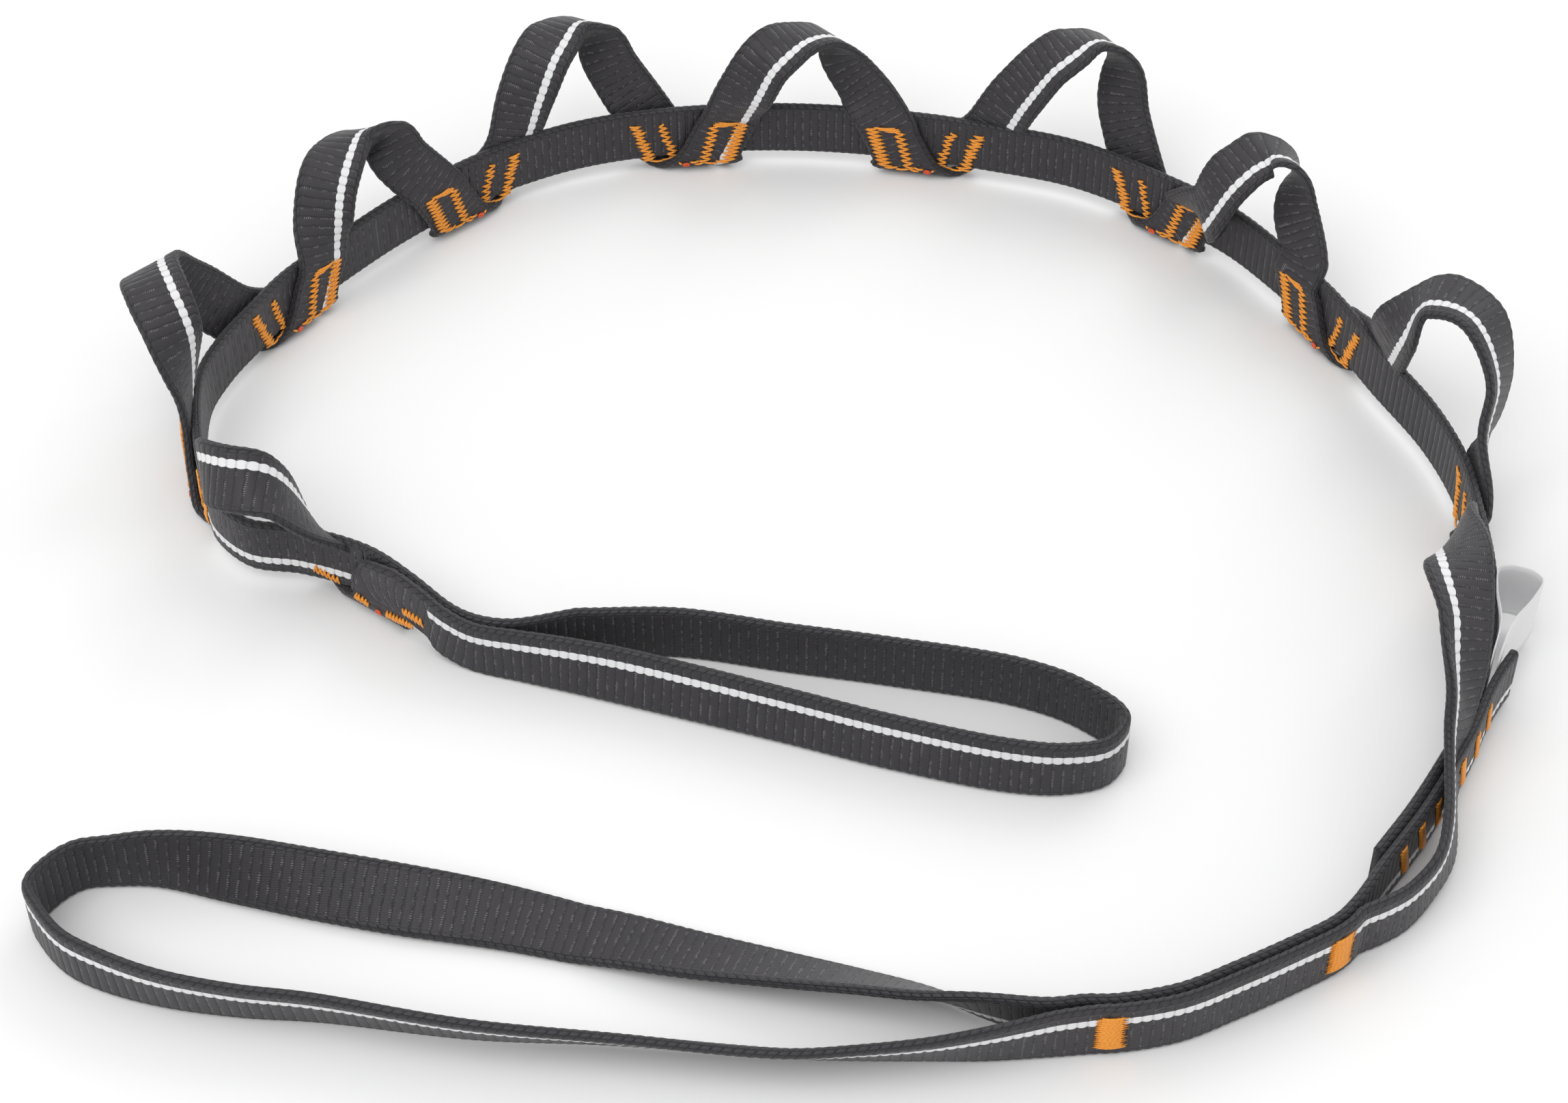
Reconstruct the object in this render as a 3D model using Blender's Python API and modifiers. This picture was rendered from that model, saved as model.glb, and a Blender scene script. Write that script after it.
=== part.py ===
"""Climbing daisy chain, laid out in a ring on the floor.

One strap of flat webbing makes it all. Its backbone stands on edge and runs clockwise, seen from
above, through nine sewn junctions. At each junction the same strap passes under the backbone and
stands up on both sides of it as two slanting legs, and between junctions it arches over as a pocket.
Both ends are closed loops: a small one before the first junction, and a big one past the last, where
the strap's heat-cut end is sewn flat onto the backbone.

Places on the chain are written (s, n, z): s along the backbone, n to its left, which is the outer
side of the ring, and z up from the floor.
"""

import math

import bmesh
import bpy
import numpy as np

NAME = "climbing_daisy_chain"

# Driving sizes, in metres
WEBBING_WIDTH = 0.018
WEBBING_THICKNESS = 0.0027
LAYER_GAP = 0.0003
LAYOUT_REACH = 0.200
THREAD_THICKNESS = 0.0006
LABEL_THICKNESS = 0.0004
LABEL_HEIGHT = 0.018
LABEL_REACH = 0.034
LABEL_SPREAD = 0.0055
ROW_STEP = 0.0045

# Driving angles
LEG_SLANT = math.radians(32)
ROW_TURN = math.radians(68)
TURN_STEP = math.radians(15)
LINK_FLEX = math.radians(30)
LOOP_FLEX = math.radians(16)
BAR_SLANT = math.radians(18)

# Sizes that follow from them
HALF_WIDTH = WEBBING_WIDTH / 2
HALF_THICKNESS = WEBBING_THICKNESS / 2
LAYER_PITCH = WEBBING_THICKNESS + LAYER_GAP
FOLD_RADIUS = LAYER_PITCH
CHAIN_BASE = FOLD_RADIUS + HALF_THICKNESS
CHAIN_TOP = CHAIN_BASE + WEBBING_WIDTH
FOLD_REACH = FOLD_RADIUS * math.pi / 2
LEG_LENGTH = FOLD_REACH + WEBBING_WIDTH + LAYER_PITCH / 3
LINK_GAP = WEBBING_THICKNESS * math.tan(LINK_FLEX / 2) + LAYER_GAP / 3
LOOP_GAP = (LAYER_PITCH + WEBBING_THICKNESS) * math.tan(LOOP_FLEX / 2) + LAYER_GAP / 3
CUT_GAP = LAYER_GAP * 3
FACE_OUT = HALF_THICKNESS + LAYER_GAP + THREAD_THICKNESS / 2
FLARE_LENGTH = WEBBING_WIDTH
FLARE = WEBBING_WIDTH / 5

# Stitching, from the webbing's width
TACK_OFFSET = WEBBING_WIDTH * 0.52
TACK_HALF_WIDTH = WEBBING_WIDTH * 0.15
TACK_FOOT = CHAIN_BASE + WEBBING_WIDTH * 0.08
TACK_HEAD = CHAIN_BASE + WEBBING_WIDTH * 0.72
BRIDGE_HALF_HEIGHT = WEBBING_WIDTH * 0.06
BAR_FOOT = WEBBING_WIDTH * 0.18
BAR_HEAD = WEBBING_WIDTH * 0.83
DOUBLED_BAR_HALF_WIDTH = WEBBING_WIDTH * 0.21

# Counts
CURVE_STEPS = 24
ARCH_ROWS = 10
LEG_ROWS = 4
FOLD_COLUMNS = 4
ARCH_COLUMNS = 2

# The backbone's route, as shares of the layout's reach. Each row of LINK_PLACE_SHARES starts at a
# junction and runs up to the next one; the last row runs to the backbone's cut end.
LEAD_PLACE_SHARES = [(-0.273, -0.1975), (-0.3675, -0.2170), (-0.4320, -0.1980), (-0.4950, -0.1510)]
LINK_PLACE_SHARES = [
    [(-0.560, -0.100), (-0.655, -0.063), (-0.7245, -0.050), (-0.773, -0.0055), (-0.7895, 0.033)],
    [(-0.8125, 0.110), (-0.8275, 0.250), (-0.8065, 0.326), (-0.775, 0.390)],
    [(-0.7325, 0.468), (-0.670, 0.545), (-0.585, 0.6425)],
    [(-0.486, 0.7325), (-0.400, 0.790), (-0.300, 0.835)],
    [(-0.1505, 0.8665), (0.035, 0.8725)],
    [(0.2225, 0.8475), (0.310, 0.825), (0.450, 0.780)],
    [(0.582, 0.694), (0.670, 0.620), (0.740, 0.525)],
    [(0.7985, 0.429), (0.855, 0.300), (0.910, 0.180), (0.9375, 0.075)],
    [
        (0.9425, -0.015), (0.9425, -0.125), (0.930, -0.225), (0.905, -0.310), (0.870, -0.390),
        (0.8325, -0.455), (0.785, -0.530), (0.730, -0.605),
    ],
]
JUNCTIONS = len(LINK_PLACE_SHARES)
TAIL_FREE_END_SHARES = (0.921, -0.270)

# Each pocket's crown, as shares of the webbing's width: along the backbone from the hinge below it,
# out from the backbone, and up from the backbone's upper edge
CROWN_SHARES = [
    (0.00, 0.10, 0.90), (-0.10, 0.55, 1.18), (0.17, 0.10, 1.20), (0.40, 0.60, 1.20),
    (-0.05, 0.10, 1.16), (0.60, 0.70, 1.20), (0.12, 0.35, 1.18), (0.40, 0.85, 1.15),
]
LEG_END_SHARE = 0.22
CUT_STEP_SHARE = 0.03
ARCH_FULLNESS = 1.3

# The neck of the small loop, on the first fold: for each row its two ends, as shares of the
# webbing's width along the backbone from the junction and up from the floor.
NECK_ROW_SHARES = [
    ((-2.09, 0.00), (-2.09, 1.00)),
    ((-1.72, 0.17), (-1.67, 1.02)),
    ((-1.44, 0.38), (-1.17, 1.03)),
    ((-1.25, 0.48), (-0.67, 1.03)),
    ((-1.08, 0.49), (-0.22, 0.96)),
    ((-0.94, 0.43), (0.06, 0.78)),
    ((-0.83, 0.34), (0.25, 0.53)),
]
NECK_TACK_SHARES = ((-1.33, -0.92), (0.53, 0.72))

# Strands that stand on the floor: (x, y) as shares of the layout's reach, and the lean in degrees.
SMALL_LOOP_SHARES = [
    (-0.350, -0.2400, -3), (-0.270, -0.2600, -9), (-0.200, -0.280, -12), (0.000, -0.345, -9),
    (0.142, -0.3925, -8), (0.290, -0.432, -6), (0.360, -0.4375, -3), (0.415, -0.4230, 0),
    (0.4375, -0.380, 0), (0.390, -0.3275, 0), (0.310, -0.2875, 0), (0.135, -0.2485, 0),
    (0.005, -0.225, 0), (-0.140, -0.197, 0), (-0.273, -0.1975, 0),
]
SMALL_LOOP_BIGHT_SHARES = (0.4375, -0.380)
BIG_LOOP_SHARES = [
    (0.710, -0.663, 180), (0.670, -0.708, 180), (0.613, -0.742, 180), (0.540, -0.780, 180),
    (0.4675, -0.8135, 180), (0.390, -0.829, 180), (0.355, -0.8295, 180), (0.3135, -0.829, 172),
    (0.242, -0.811, 158), (0.1685, -0.787, 138), (0.0875, -0.7655, 128), (0.0015, -0.744, 118),
    (-0.106, -0.7155, 106), (-0.2245, -0.680, 93), (-0.344, -0.653, 80), (-0.484, -0.635, 57),
    (-0.582, -0.6185, 45), (-0.681, -0.5995, 32), (-0.780, -0.5855, 10), (-0.835, -0.5885, 2),
    (-0.875, -0.595, 0), (-0.905, -0.620, 0), (-0.9225, -0.655, 0), (-0.905, -0.690, 0),
    (-0.870, -0.730, 2), (-0.826, -0.7555, 4), (-0.7515, -0.7835, 10), (-0.655, -0.803, 15),
    (-0.560, -0.813, 19), (-0.3715, -0.844, 27), (-0.200, -0.857, 34), (0.0015, -0.877, 36),
    (0.085, -0.877, 31), (0.170, -0.873, 24), (0.240, -0.866, 14), (0.320, -0.852, 3),
]
BIG_LOOP_HINGE_SHARES = (0.3575, -0.8295)
BIG_LOOP_TWIST_END_SHARES = (0.0015, -0.744)
BIG_LOOP_LEFT_END_SHARES = (-0.9225, -0.655)

# The long pocket, from the last fold over the sewn overlap and down to the doubled section: the
# centre's (x, y) as shares of the reach, its height as a share of the webbing's width, and the
# direction of the striped edge.
LONG_POCKET_SHARES = [
    ((0.905, -0.150, 1.75), (-0.30, -0.95, 0.05)),
    ((0.870, -0.235, 2.10), (-0.94, -0.20, 0.20)),
    ((0.850, -0.330, 1.95), (-0.80, -0.05, 0.55)),
    ((0.840, -0.420, 1.72), (-0.50, 0.00, 0.87)),
    ((0.842, -0.500, 1.48), (-0.20, 0.00, 0.98)),
    ((0.827, -0.565, 0.95), (-0.08, 0.00, 1.00)),
    ((0.802, -0.620, 0.60), (0.00, 0.00, 1.00)),
    ((0.765, -0.660, 0.50), (0.00, 0.00, 1.00)),
    ((0.732, -0.682, 0.50), (0.00, 0.00, 1.00)),
]
DOUBLED_START_SHARES = (0.690, -0.688)
DOUBLED_TACK_SHARES = {"a": (0.662, -0.713), "b": (0.385, -0.829)}

# Along the sewn end from its free end: the three tacks above and the three below
OVERLAP_TACK_SHARES = [0.20, 0.33, 0.46, 0.66, 0.78, 0.90]

# The label's direction from its root, and half its outline: along its reach, then half the spread
LABEL_HEADING_SHARES = (0.48, 0.877)
LABEL_OUTLINE_SHARES = [(0.0, 0.145), (0.35, 0.22), (0.7, 0.8), (0.9, 1.0), (0.98, 0.6)]

# Colours, as linear red, green and blue
WEBBING_COLOUR = (0.036, 0.033, 0.038, 1.0)
THREAD_COLOUR = (0.85, 0.24, 0.012, 1.0)
LABEL_COLOUR = (0.86, 0.86, 0.87, 1.0)

# Which side of the backbone each pocket stands on, and on which side each junction's tack shows
POCKET_SIDES = [-1, 1, -1, 1, -1, 1, -1, 1]
TACK_SIDES = [1, 1, -1, -1, -1, -1, -1, -1, -1]


def clear_scene():
    for obj in list(bpy.data.objects):
        bpy.data.objects.remove(obj, do_unlink=True)


def unit(vectors):
    vectors = np.asarray(vectors, float)
    return vectors / np.linalg.norm(vectors, axis=-1, keepdims=True)


def between(t, start, end, first, second):
    return ((end - t) * first + (t - start) * second) / (end - start)


def smooth_curve(points, dims):
    """A centripetal Catmull-Rom curve through the points, spaced by their first dims columns."""
    points = np.asarray(points, float)
    points = np.vstack([2 * points[0] - points[1], points, 2 * points[-1] - points[-2]])
    spans = np.linalg.norm(np.diff(points[:, :dims], axis=0), axis=1)
    knots = np.concatenate([[0.0], np.cumsum(np.sqrt(spans))])
    curve = [points[1]]
    for i in range(1, len(points) - 2):
        k0, k1, k2, k3 = knots[i - 1 : i + 3]
        p0, p1, p2, p3 = points[i - 1 : i + 3]
        for t in np.linspace(k1, k2, CURVE_STEPS + 1)[1:]:
            before = between(t, k0, k1, p0, p1)
            middle = between(t, k1, k2, p1, p2)
            after = between(t, k2, k3, p2, p3)
            first = between(t, k0, k2, before, middle)
            second = between(t, k1, k3, middle, after)
            curve.append(between(t, k1, k2, first, second))
    return np.array(curve)


class Route:
    """A smooth curve that is read by its length from the start."""

    def __init__(self, points, dims):
        self.values = smooth_curve(points, dims)
        self.dims = dims
        steps = np.diff(self.values[:, :dims], axis=0)
        self.lengths = np.concatenate([[0.0], np.cumsum(np.linalg.norm(steps, axis=1))])
        self.total = self.lengths[-1]
        runs = unit(steps)
        turns = np.arccos(np.clip(np.sum(runs[1:] * runs[:-1], axis=1), -1, 1))
        turned = np.concatenate([[0.0, 0.0], np.cumsum(turns)])
        self.rows = self.lengths / ROW_STEP + turned / TURN_STEP

    def at(self, length):
        columns = [np.interp(length, self.lengths, column) for column in self.values.T]
        return np.stack(columns, -1)

    def heading(self, length):
        near = HALF_THICKNESS
        ahead = self.at(np.minimum(np.asarray(length) + near, self.total))[..., : self.dims]
        behind = self.at(np.maximum(np.asarray(length) - near, 0))[..., : self.dims]
        return unit(ahead - behind)

    def stations(self, start, end):
        """Lengths for the cross rows, closer together where the route bends."""
        first, last = np.interp([start, end], self.lengths, self.rows)
        count = max(2, math.ceil(last - first) + 1)
        return np.interp(np.linspace(first, last, count), self.rows, self.lengths)

    def length_near(self, place):
        gaps = np.linalg.norm(self.values[:, :2] - np.asarray(place), axis=1)
        return self.lengths[int(np.argmin(gaps))]


def chain_route():
    places = LEAD_PLACE_SHARES + [place for row in LINK_PLACE_SHARES for place in row]
    return Route(np.array(places) * LAYOUT_REACH, 2)


CHAIN = chain_route()
JUNCTION_S = [CHAIN.length_near(np.array(row[0]) * LAYOUT_REACH) for row in LINK_PLACE_SHARES]
HINGE_S = [(a + b) / 2 for a, b in zip(JUNCTION_S[:-1], JUNCTION_S[1:])]
NECK_S = JUNCTION_S[0] + NECK_ROW_SHARES[0][0][0] * WEBBING_WIDTH
TAIL_FREE_END_S = CHAIN.length_near(np.array(TAIL_FREE_END_SHARES) * LAYOUT_REACH)


def on_chain(s, n, z):
    """The place in the layout of a place on the chain."""
    s, n, z = np.broadcast_arrays(*(np.asarray(v, float) for v in (s, n, z)))
    inside = np.clip(s, 0, CHAIN.total)
    heading = CHAIN.heading(inside)
    places = CHAIN.at(inside) + heading * (s - inside)[..., None]
    left = np.stack([-heading[..., 1], heading[..., 0]], -1)
    return np.concatenate([places + left * n[..., None], z[..., None]], -1)


def blend(value):
    """A smooth step from 0 to 1."""
    value = np.clip(value, 0, 1)
    return value * value * (3 - 2 * value)


def chain_base(s):
    """The height of the backbone's lower edge, which comes down to the floor past both ends."""
    start = blend((s - NECK_S) / (JUNCTION_S[0] - WEBBING_WIDTH / 2 - NECK_S))
    end = blend((s - JUNCTION_S[-1] - WEBBING_WIDTH) / (3 * WEBBING_WIDTH))
    return CHAIN_BASE * start * (1 - end)


def across(count):
    """Shares of the width from the plain edge to the striped one."""
    return np.linspace(-1, 1, count + 1)


def rows_of(centres, directions, count):
    """Rows of points across the strap, square to its run as seen on its face."""
    centres = np.asarray(centres, float)
    directions = unit(directions)
    runs = unit(np.gradient(centres, axis=0))
    along = np.sum(runs * directions, axis=1)
    reach = HALF_WIDTH / np.sqrt(1 - np.clip(along, -0.7, 0.7) ** 2)
    return centres[:, None] + directions[:, None] * (reach[:, None] * across(count))[..., None]


def leg_centre(reach, junction, direction, side):
    """A place on the strap's centreline at this height of unrolled leg, measured from the fold."""
    s = JUNCTION_S[junction] + direction * reach * math.tan(LEG_SLANT)
    if reach < FOLD_REACH:
        turn = reach / FOLD_RADIUS
        return [s, side * FOLD_RADIUS * math.sin(turn), CHAIN_BASE - FOLD_RADIUS * math.cos(turn)]
    return [s, side * FOLD_RADIUS, CHAIN_BASE + reach - FOLD_REACH]


def half_arch(pocket, share, direction):
    """Centre and row direction on half of a pocket's arch; share 0 is its leg, 1 its crown."""
    junction = pocket if direction > 0 else pocket + 1
    foot = np.array(leg_centre(LEG_LENGTH, junction, direction, POCKET_SIDES[pocket]))
    along, out, up = np.array(CROWN_SHARES[pocket]) * WEBBING_WIDTH
    crown = np.array([HINGE_S[pocket] + along, out, CHAIN_TOP + up])
    pull = np.linalg.norm(crown - foot) * ARCH_FULLNESS
    rise = np.array([direction * math.sin(LEG_SLANT), 0, math.cos(LEG_SLANT)]) * pull
    level = np.array([direction, 0, 0]) * pull
    t = share
    centre = (
        (2 * t**3 - 3 * t**2 + 1) * foot
        + (t**3 - 2 * t**2 + t) * rise
        + (3 * t**2 - 2 * t**3) * crown
        + (t**3 - t**2) * level
    )
    turn = blend(t) * ROW_TURN
    return centre, np.array([math.cos(turn), -math.sin(turn), 0])


def leg_rows(junction, direction, side):
    """Places and row directions of a leg, from above the backbone down to the fold's middle."""
    pocket = junction if direction > 0 else junction - 1
    places, directions = [], []
    if 0 <= pocket < len(POCKET_SIDES):
        for share in (LEG_END_SHARE, LEG_END_SHARE - CUT_STEP_SHARE, LEG_END_SHARE / 2):
            centre, turned = half_arch(pocket, share, direction)
            places.append(centre)
            directions.append(turned)
    straight = np.linspace(LEG_LENGTH, FOLD_REACH, LEG_ROWS + 1)[:-1]
    round_bend = np.linspace(FOLD_REACH, 0, LEG_ROWS + 1)[:-1]
    for reach in [*straight, *round_bend]:
        places.append(leg_centre(reach, junction, direction, side))
        directions.append([1, 0, 0])
    return places, directions


def fold_rows(junction):
    """The whole piece under a junction: down one side of the backbone, under it and up again."""
    last = junction == JUNCTIONS - 1
    side = -1 if last else POCKET_SIDES[junction]
    up_places, up_directions = leg_rows(junction, 1, side)
    down_places, down_directions = leg_rows(junction, -1, -side)
    if junction == 0:
        down_places, down_directions = down_places[-LEG_ROWS:], down_directions[-LEG_ROWS:]
    foot = leg_centre(0, junction, 1, side)
    places = np.array(down_places + [foot] + up_places[::-1])
    directions = np.array(down_directions + [[1, 0, 0]] + up_directions[::-1])
    rows = rows_of(places, directions, FOLD_COLUMNS)
    if junction == 0:
        rows = np.concatenate([neck_rows(), rows])
    return on_chain(rows[..., 0], rows[..., 1], rows[..., 2])


def neck_rows():
    """The fan at the small loop's neck, on the outer side of the first junction."""
    ends = np.array(NECK_ROW_SHARES) * WEBBING_WIDTH
    ends[..., 0] += JUNCTION_S[0]
    ends[0, :, 0] += LOOP_GAP / 2
    mix = ((across(FOLD_COLUMNS) + 1) / 2)[:, None]
    rows = []
    for low, high in ends:
        line = low * (1 - mix) + high * mix
        rows.append(np.insert(line, 1, FOLD_RADIUS, axis=1))
    return np.array(rows)


def past_leg(pocket, direction):
    """The share at which a half arch starts, a clearance past the end of its leg."""
    leg_end, _ = half_arch(pocket, LEG_END_SHARE, direction)
    ahead, _ = half_arch(pocket, LEG_END_SHARE + CUT_STEP_SHARE, direction)
    return LEG_END_SHARE + CUT_STEP_SHARE * CUT_GAP / np.linalg.norm(ahead - leg_end)


def arch_rows(pocket):
    """A pocket's arch, from the end of one leg to the end of the other."""
    halves = []
    for direction in (1, -1):
        start = past_leg(pocket, direction)
        shares = [start, *np.linspace(start + CUT_STEP_SHARE, 1, ARCH_ROWS)]
        halves.append([half_arch(pocket, share, direction) for share in shares])
    places, directions = zip(*(halves[0] + halves[1][-2::-1]))
    rows = rows_of(places, directions, ARCH_COLUMNS)
    return on_chain(rows[..., 0], rows[..., 1], rows[..., 2])


def backbone_rows(start, end):
    """Upright rows along the backbone."""
    s = CHAIN.stations(start, end)
    low = chain_base(s)
    return np.stack([on_chain(s, 0, low), on_chain(s, 0, low + WEBBING_WIDTH)], 1)


def standing_route(rows):
    """A route of floor-standing strap: place, then lean, which stays in degrees."""
    table = np.array(rows, float)
    table[:, :2] *= LAYOUT_REACH
    return Route(table, 2)


def standing_rows(route, start, end):
    """Rows of a strand that stands on the floor, leaning over by its route's angle."""
    length = route.stations(start, end)
    values = route.at(length)
    heading = route.heading(length)
    left = np.stack([-heading[:, 1], heading[:, 0], np.zeros(len(length))], -1)
    lean = np.radians(values[:, 2])
    up = np.array([0.0, 0.0, 1.0])
    edge = np.cos(lean)[:, None] * up - np.sin(lean)[:, None] * left
    height = HALF_WIDTH * np.abs(np.cos(lean)) + HALF_THICKNESS * np.abs(np.sin(lean))
    centres = np.column_stack([values[:, :2], height])
    return centres[:, None] + edge[:, None] * (HALF_WIDTH * across(1))[None, :, None]


SMALL_LOOP = standing_route(SMALL_LOOP_SHARES)


def overlap_offset(s):
    """How far out the sewn end lies from the backbone: it flares away over its last stretch."""
    free = (TAIL_FREE_END_S + FLARE_LENGTH - s) / FLARE_LENGTH
    return LAYER_PITCH + FLARE * np.clip(free, 0, 1) ** 2


BIG_LOOP = standing_route(BIG_LOOP_SHARES)
HINGE_LENGTH = BIG_LOOP.length_near(np.array(BIG_LOOP_HINGE_SHARES) * LAYOUT_REACH)
LEFT_END_LENGTH = BIG_LOOP.length_near(np.array(BIG_LOOP_LEFT_END_SHARES) * LAYOUT_REACH)
TWIST_END_LENGTH = BIG_LOOP.length_near(np.array(BIG_LOOP_TWIST_END_SHARES) * LAYOUT_REACH)


def lap_rows():
    """The sewn end, flat against the backbone, running on into the doubled section."""
    s = CHAIN.stations(TAIL_FREE_END_S, CHAIN.total)
    low = chain_base(s)
    side = overlap_offset(s)
    sewn = np.stack([on_chain(s, side, low + WEBBING_WIDTH), on_chain(s, side, low)], 1)
    loose = standing_rows(BIG_LOOP, LAYER_PITCH, HINGE_LENGTH - LOOP_GAP / 2)
    return np.concatenate([sewn, loose])


def beside_big_loop(length, out):
    """Places beside the big loop's route, this far to its left."""
    heading = BIG_LOOP.heading(length)
    left = np.stack([-heading[..., 1], heading[..., 0]], -1)
    return BIG_LOOP.at(length)[..., :2] + left * out


def doubled_rows():
    """The long pocket strap: out of the last fold, over the overlap, down and along the doubled section."""
    last = JUNCTIONS - 1
    start = leg_centre(LEG_LENGTH + LAYER_GAP * 3 / 2, last, 1, -1)
    second = leg_centre(LEG_LENGTH + LAYER_PITCH, last, 1, -1)
    along = [*CHAIN.heading(start[0]), 0.0]
    places = [[*on_chain(*start), *along], [*on_chain(*second), *along]]
    for (x, y, z), direction in LONG_POCKET_SHARES:
        places.append([x * LAYOUT_REACH, y * LAYOUT_REACH, z * WEBBING_WIDTH, *direction])
    merge = BIG_LOOP.length_near(np.array(DOUBLED_START_SHARES) * LAYOUT_REACH)
    run = BIG_LOOP.stations(merge, HINGE_LENGTH - LOOP_GAP / 2)
    for x, y in beside_big_loop(run, LAYER_PITCH):
        places.append([x, y, HALF_WIDTH, 0, 0, 1])
    route = Route(places, 3)
    values = route.at(route.stations(0, route.total))
    return rows_of(values[:, :3], values[:, 3:], ARCH_COLUMNS)


def material_for(name, colour, roughness):
    material = bpy.data.materials.new(name)
    material.use_nodes = True
    shader = material.node_tree.nodes["Principled BSDF"]
    shader.inputs["Base Color"].default_value = colour
    shader.inputs["Roughness"].default_value = roughness
    shader.inputs["Metallic"].default_value = 0.0
    return material


class Body:
    """A group of pieces that move together, hung on an empty that stands on their joint's axis."""

    def __init__(self, name, place, parent=None):
        self.place = np.array(place, float)
        self.empty = bpy.data.objects.new(f"{name}_axis", None)
        self.empty.empty_display_size = WEBBING_WIDTH
        bpy.data.collections[NAME].objects.link(self.empty)
        if parent is not None:
            self.empty.parent = parent.empty
        origin = parent.place if parent is not None else np.zeros(3)
        self.empty.location = self.place - origin

    def add_sheet(self, name, rows, thickness, colour, roughness):
        """A closed strap: a grid laid through the rows and given its thickness."""
        rows = np.asarray(rows, float) - self.place
        count, width = rows.shape[:2]
        mesh = bpy.data.meshes.new(name)
        grid = bmesh.new()
        bmesh.ops.create_grid(grid, x_segments=width - 1, y_segments=count - 1, size=1)
        for vert, place in zip(grid.verts, rows.reshape(-1, 3)):
            vert.co = place
        grid.normal_update()
        grid.to_mesh(mesh)
        grid.free()
        mesh.shade_smooth()
        mesh.materials.append(material_for(name, colour, roughness))
        obj = bpy.data.objects.new(name, mesh)
        bpy.data.collections[NAME].objects.link(obj)
        obj.parent = self.empty
        shell = obj.modifiers.new("thickness", "SOLIDIFY")
        shell.thickness = thickness
        shell.offset = 0
        shell.use_even_offset = True
        return obj

    def add_strap(self, name, rows):
        return self.add_sheet(name, rows, WEBBING_THICKNESS, WEBBING_COLOUR, 0.8)

    def add_thread(self, name, rows):
        return self.add_sheet(name, rows, THREAD_THICKNESS, THREAD_COLOUR, 0.6)


def tack_rows(junction):
    """Two slanting bars of thread at a junction, one on a leg and one on the backbone beside it,
    joined by a few short stitches that step down over the leg's edge."""
    side = TACK_SIDES[junction]
    fold_side = -1 if junction == JUNCTIONS - 1 else POCKET_SIDES[junction]
    toward_leg = 1 if fold_side == side else -1
    slant = math.tan(LEG_SLANT)
    middle = (TACK_FOOT + TACK_HEAD) / 2
    bridge = (middle - BRIDGE_HALF_HEIGHT, middle + BRIDGE_HALF_HEIGHT)
    low, high = FACE_OUT, FACE_OUT + LAYER_PITCH
    leg_edge = (FOLD_REACH + middle - CHAIN_BASE) * slant - HALF_WIDTH / math.cos(LEG_SLANT)
    bars = []
    for centre, out in ((-TACK_OFFSET, low), (TACK_OFFSET, high)):
        for edge in (-TACK_HALF_WIDTH, TACK_HALF_WIDTH):
            bars.append((centre + edge, TACK_FOOT, TACK_HEAD, out))
    lift = (high - low) / 2
    stitch = [
        (leg_edge - lift - LAYER_GAP * 3, *bridge, low),
        (leg_edge - LAYER_GAP * 4, *bridge, high),
    ]
    rows = []
    for x, foot, head, out in bars[:2] + stitch + bars[2:]:
        row = []
        for z in (foot, head):
            s = JUNCTION_S[junction] + toward_leg * (x + (z - middle) * slant)
            row.append(on_chain(s, side * out, z))
        rows.append(row)
    return np.array(rows)


def neck_tack_rows():
    """The closing tack on the small loop's neck."""
    along, up = np.array(NECK_TACK_SHARES) * WEBBING_WIDTH
    s, z = np.meshgrid(JUNCTION_S[0] + along, up, indexing="ij")
    return on_chain(s, FOLD_RADIUS + FACE_OUT, z)


def hinge_place(s, n=0.0):
    return on_chain(s, n, CHAIN_BASE + HALF_WIDTH)


def build_links():
    """The nine links of the chain, each hung on the next, with the last one as the root."""
    bodies = {}
    root = Body("link_8", on_chain(JUNCTION_S[-1], 0, CHAIN_BASE))
    bodies[JUNCTIONS - 1] = root
    for link in range(JUNCTIONS - 2, -1, -1):
        bodies[link] = Body(f"link_{link}", hinge_place(HINGE_S[link]), bodies[link + 1])
    for link, body in bodies.items():
        start = NECK_S + LOOP_GAP / 2 if link == 0 else HINGE_S[link - 1] + LINK_GAP / 2
        end = CHAIN.total if link == JUNCTIONS - 1 else HINGE_S[link] - LINK_GAP / 2
        body.add_strap(f"backbone_{link}", backbone_rows(start, end))
        body.add_strap(f"fold_{link}", fold_rows(link))
        body.add_thread(f"junction_tack_{link}", tack_rows(link))
        if link < len(POCKET_SIDES):
            body.add_strap(f"pocket_{link}", arch_rows(link))
    bodies[0].add_thread("neck_tack", neck_tack_rows())
    return bodies


def build_small_loop(neck_link):
    """The small end loop, which flexes at the neck beside the first junction."""
    body = Body("small_end_loop", hinge_place(NECK_S, LAYER_PITCH / 2), neck_link)
    bight = SMALL_LOOP.length_near(np.array(SMALL_LOOP_BIGHT_SHARES) * LAYOUT_REACH)
    near_start = on_chain(NECK_S - LOOP_GAP / 2, LAYER_PITCH, 0)
    far_start = on_chain(NECK_S - LOOP_GAP / 2, 0, 0)
    near = standing_rows(SMALL_LOOP, 0, bight - LAYER_GAP)
    far = standing_rows(SMALL_LOOP, bight + LAYER_GAP, SMALL_LOOP.total)
    lift = np.array([0, 0, WEBBING_WIDTH])
    near = np.concatenate([[[near_start, near_start + lift]], near])
    far = np.concatenate([far, backbone_rows(LAYER_PITCH, NECK_S - LOOP_GAP / 2)])
    body.add_strap("small_loop_near", near)
    body.add_strap("small_loop_far", far)


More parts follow.
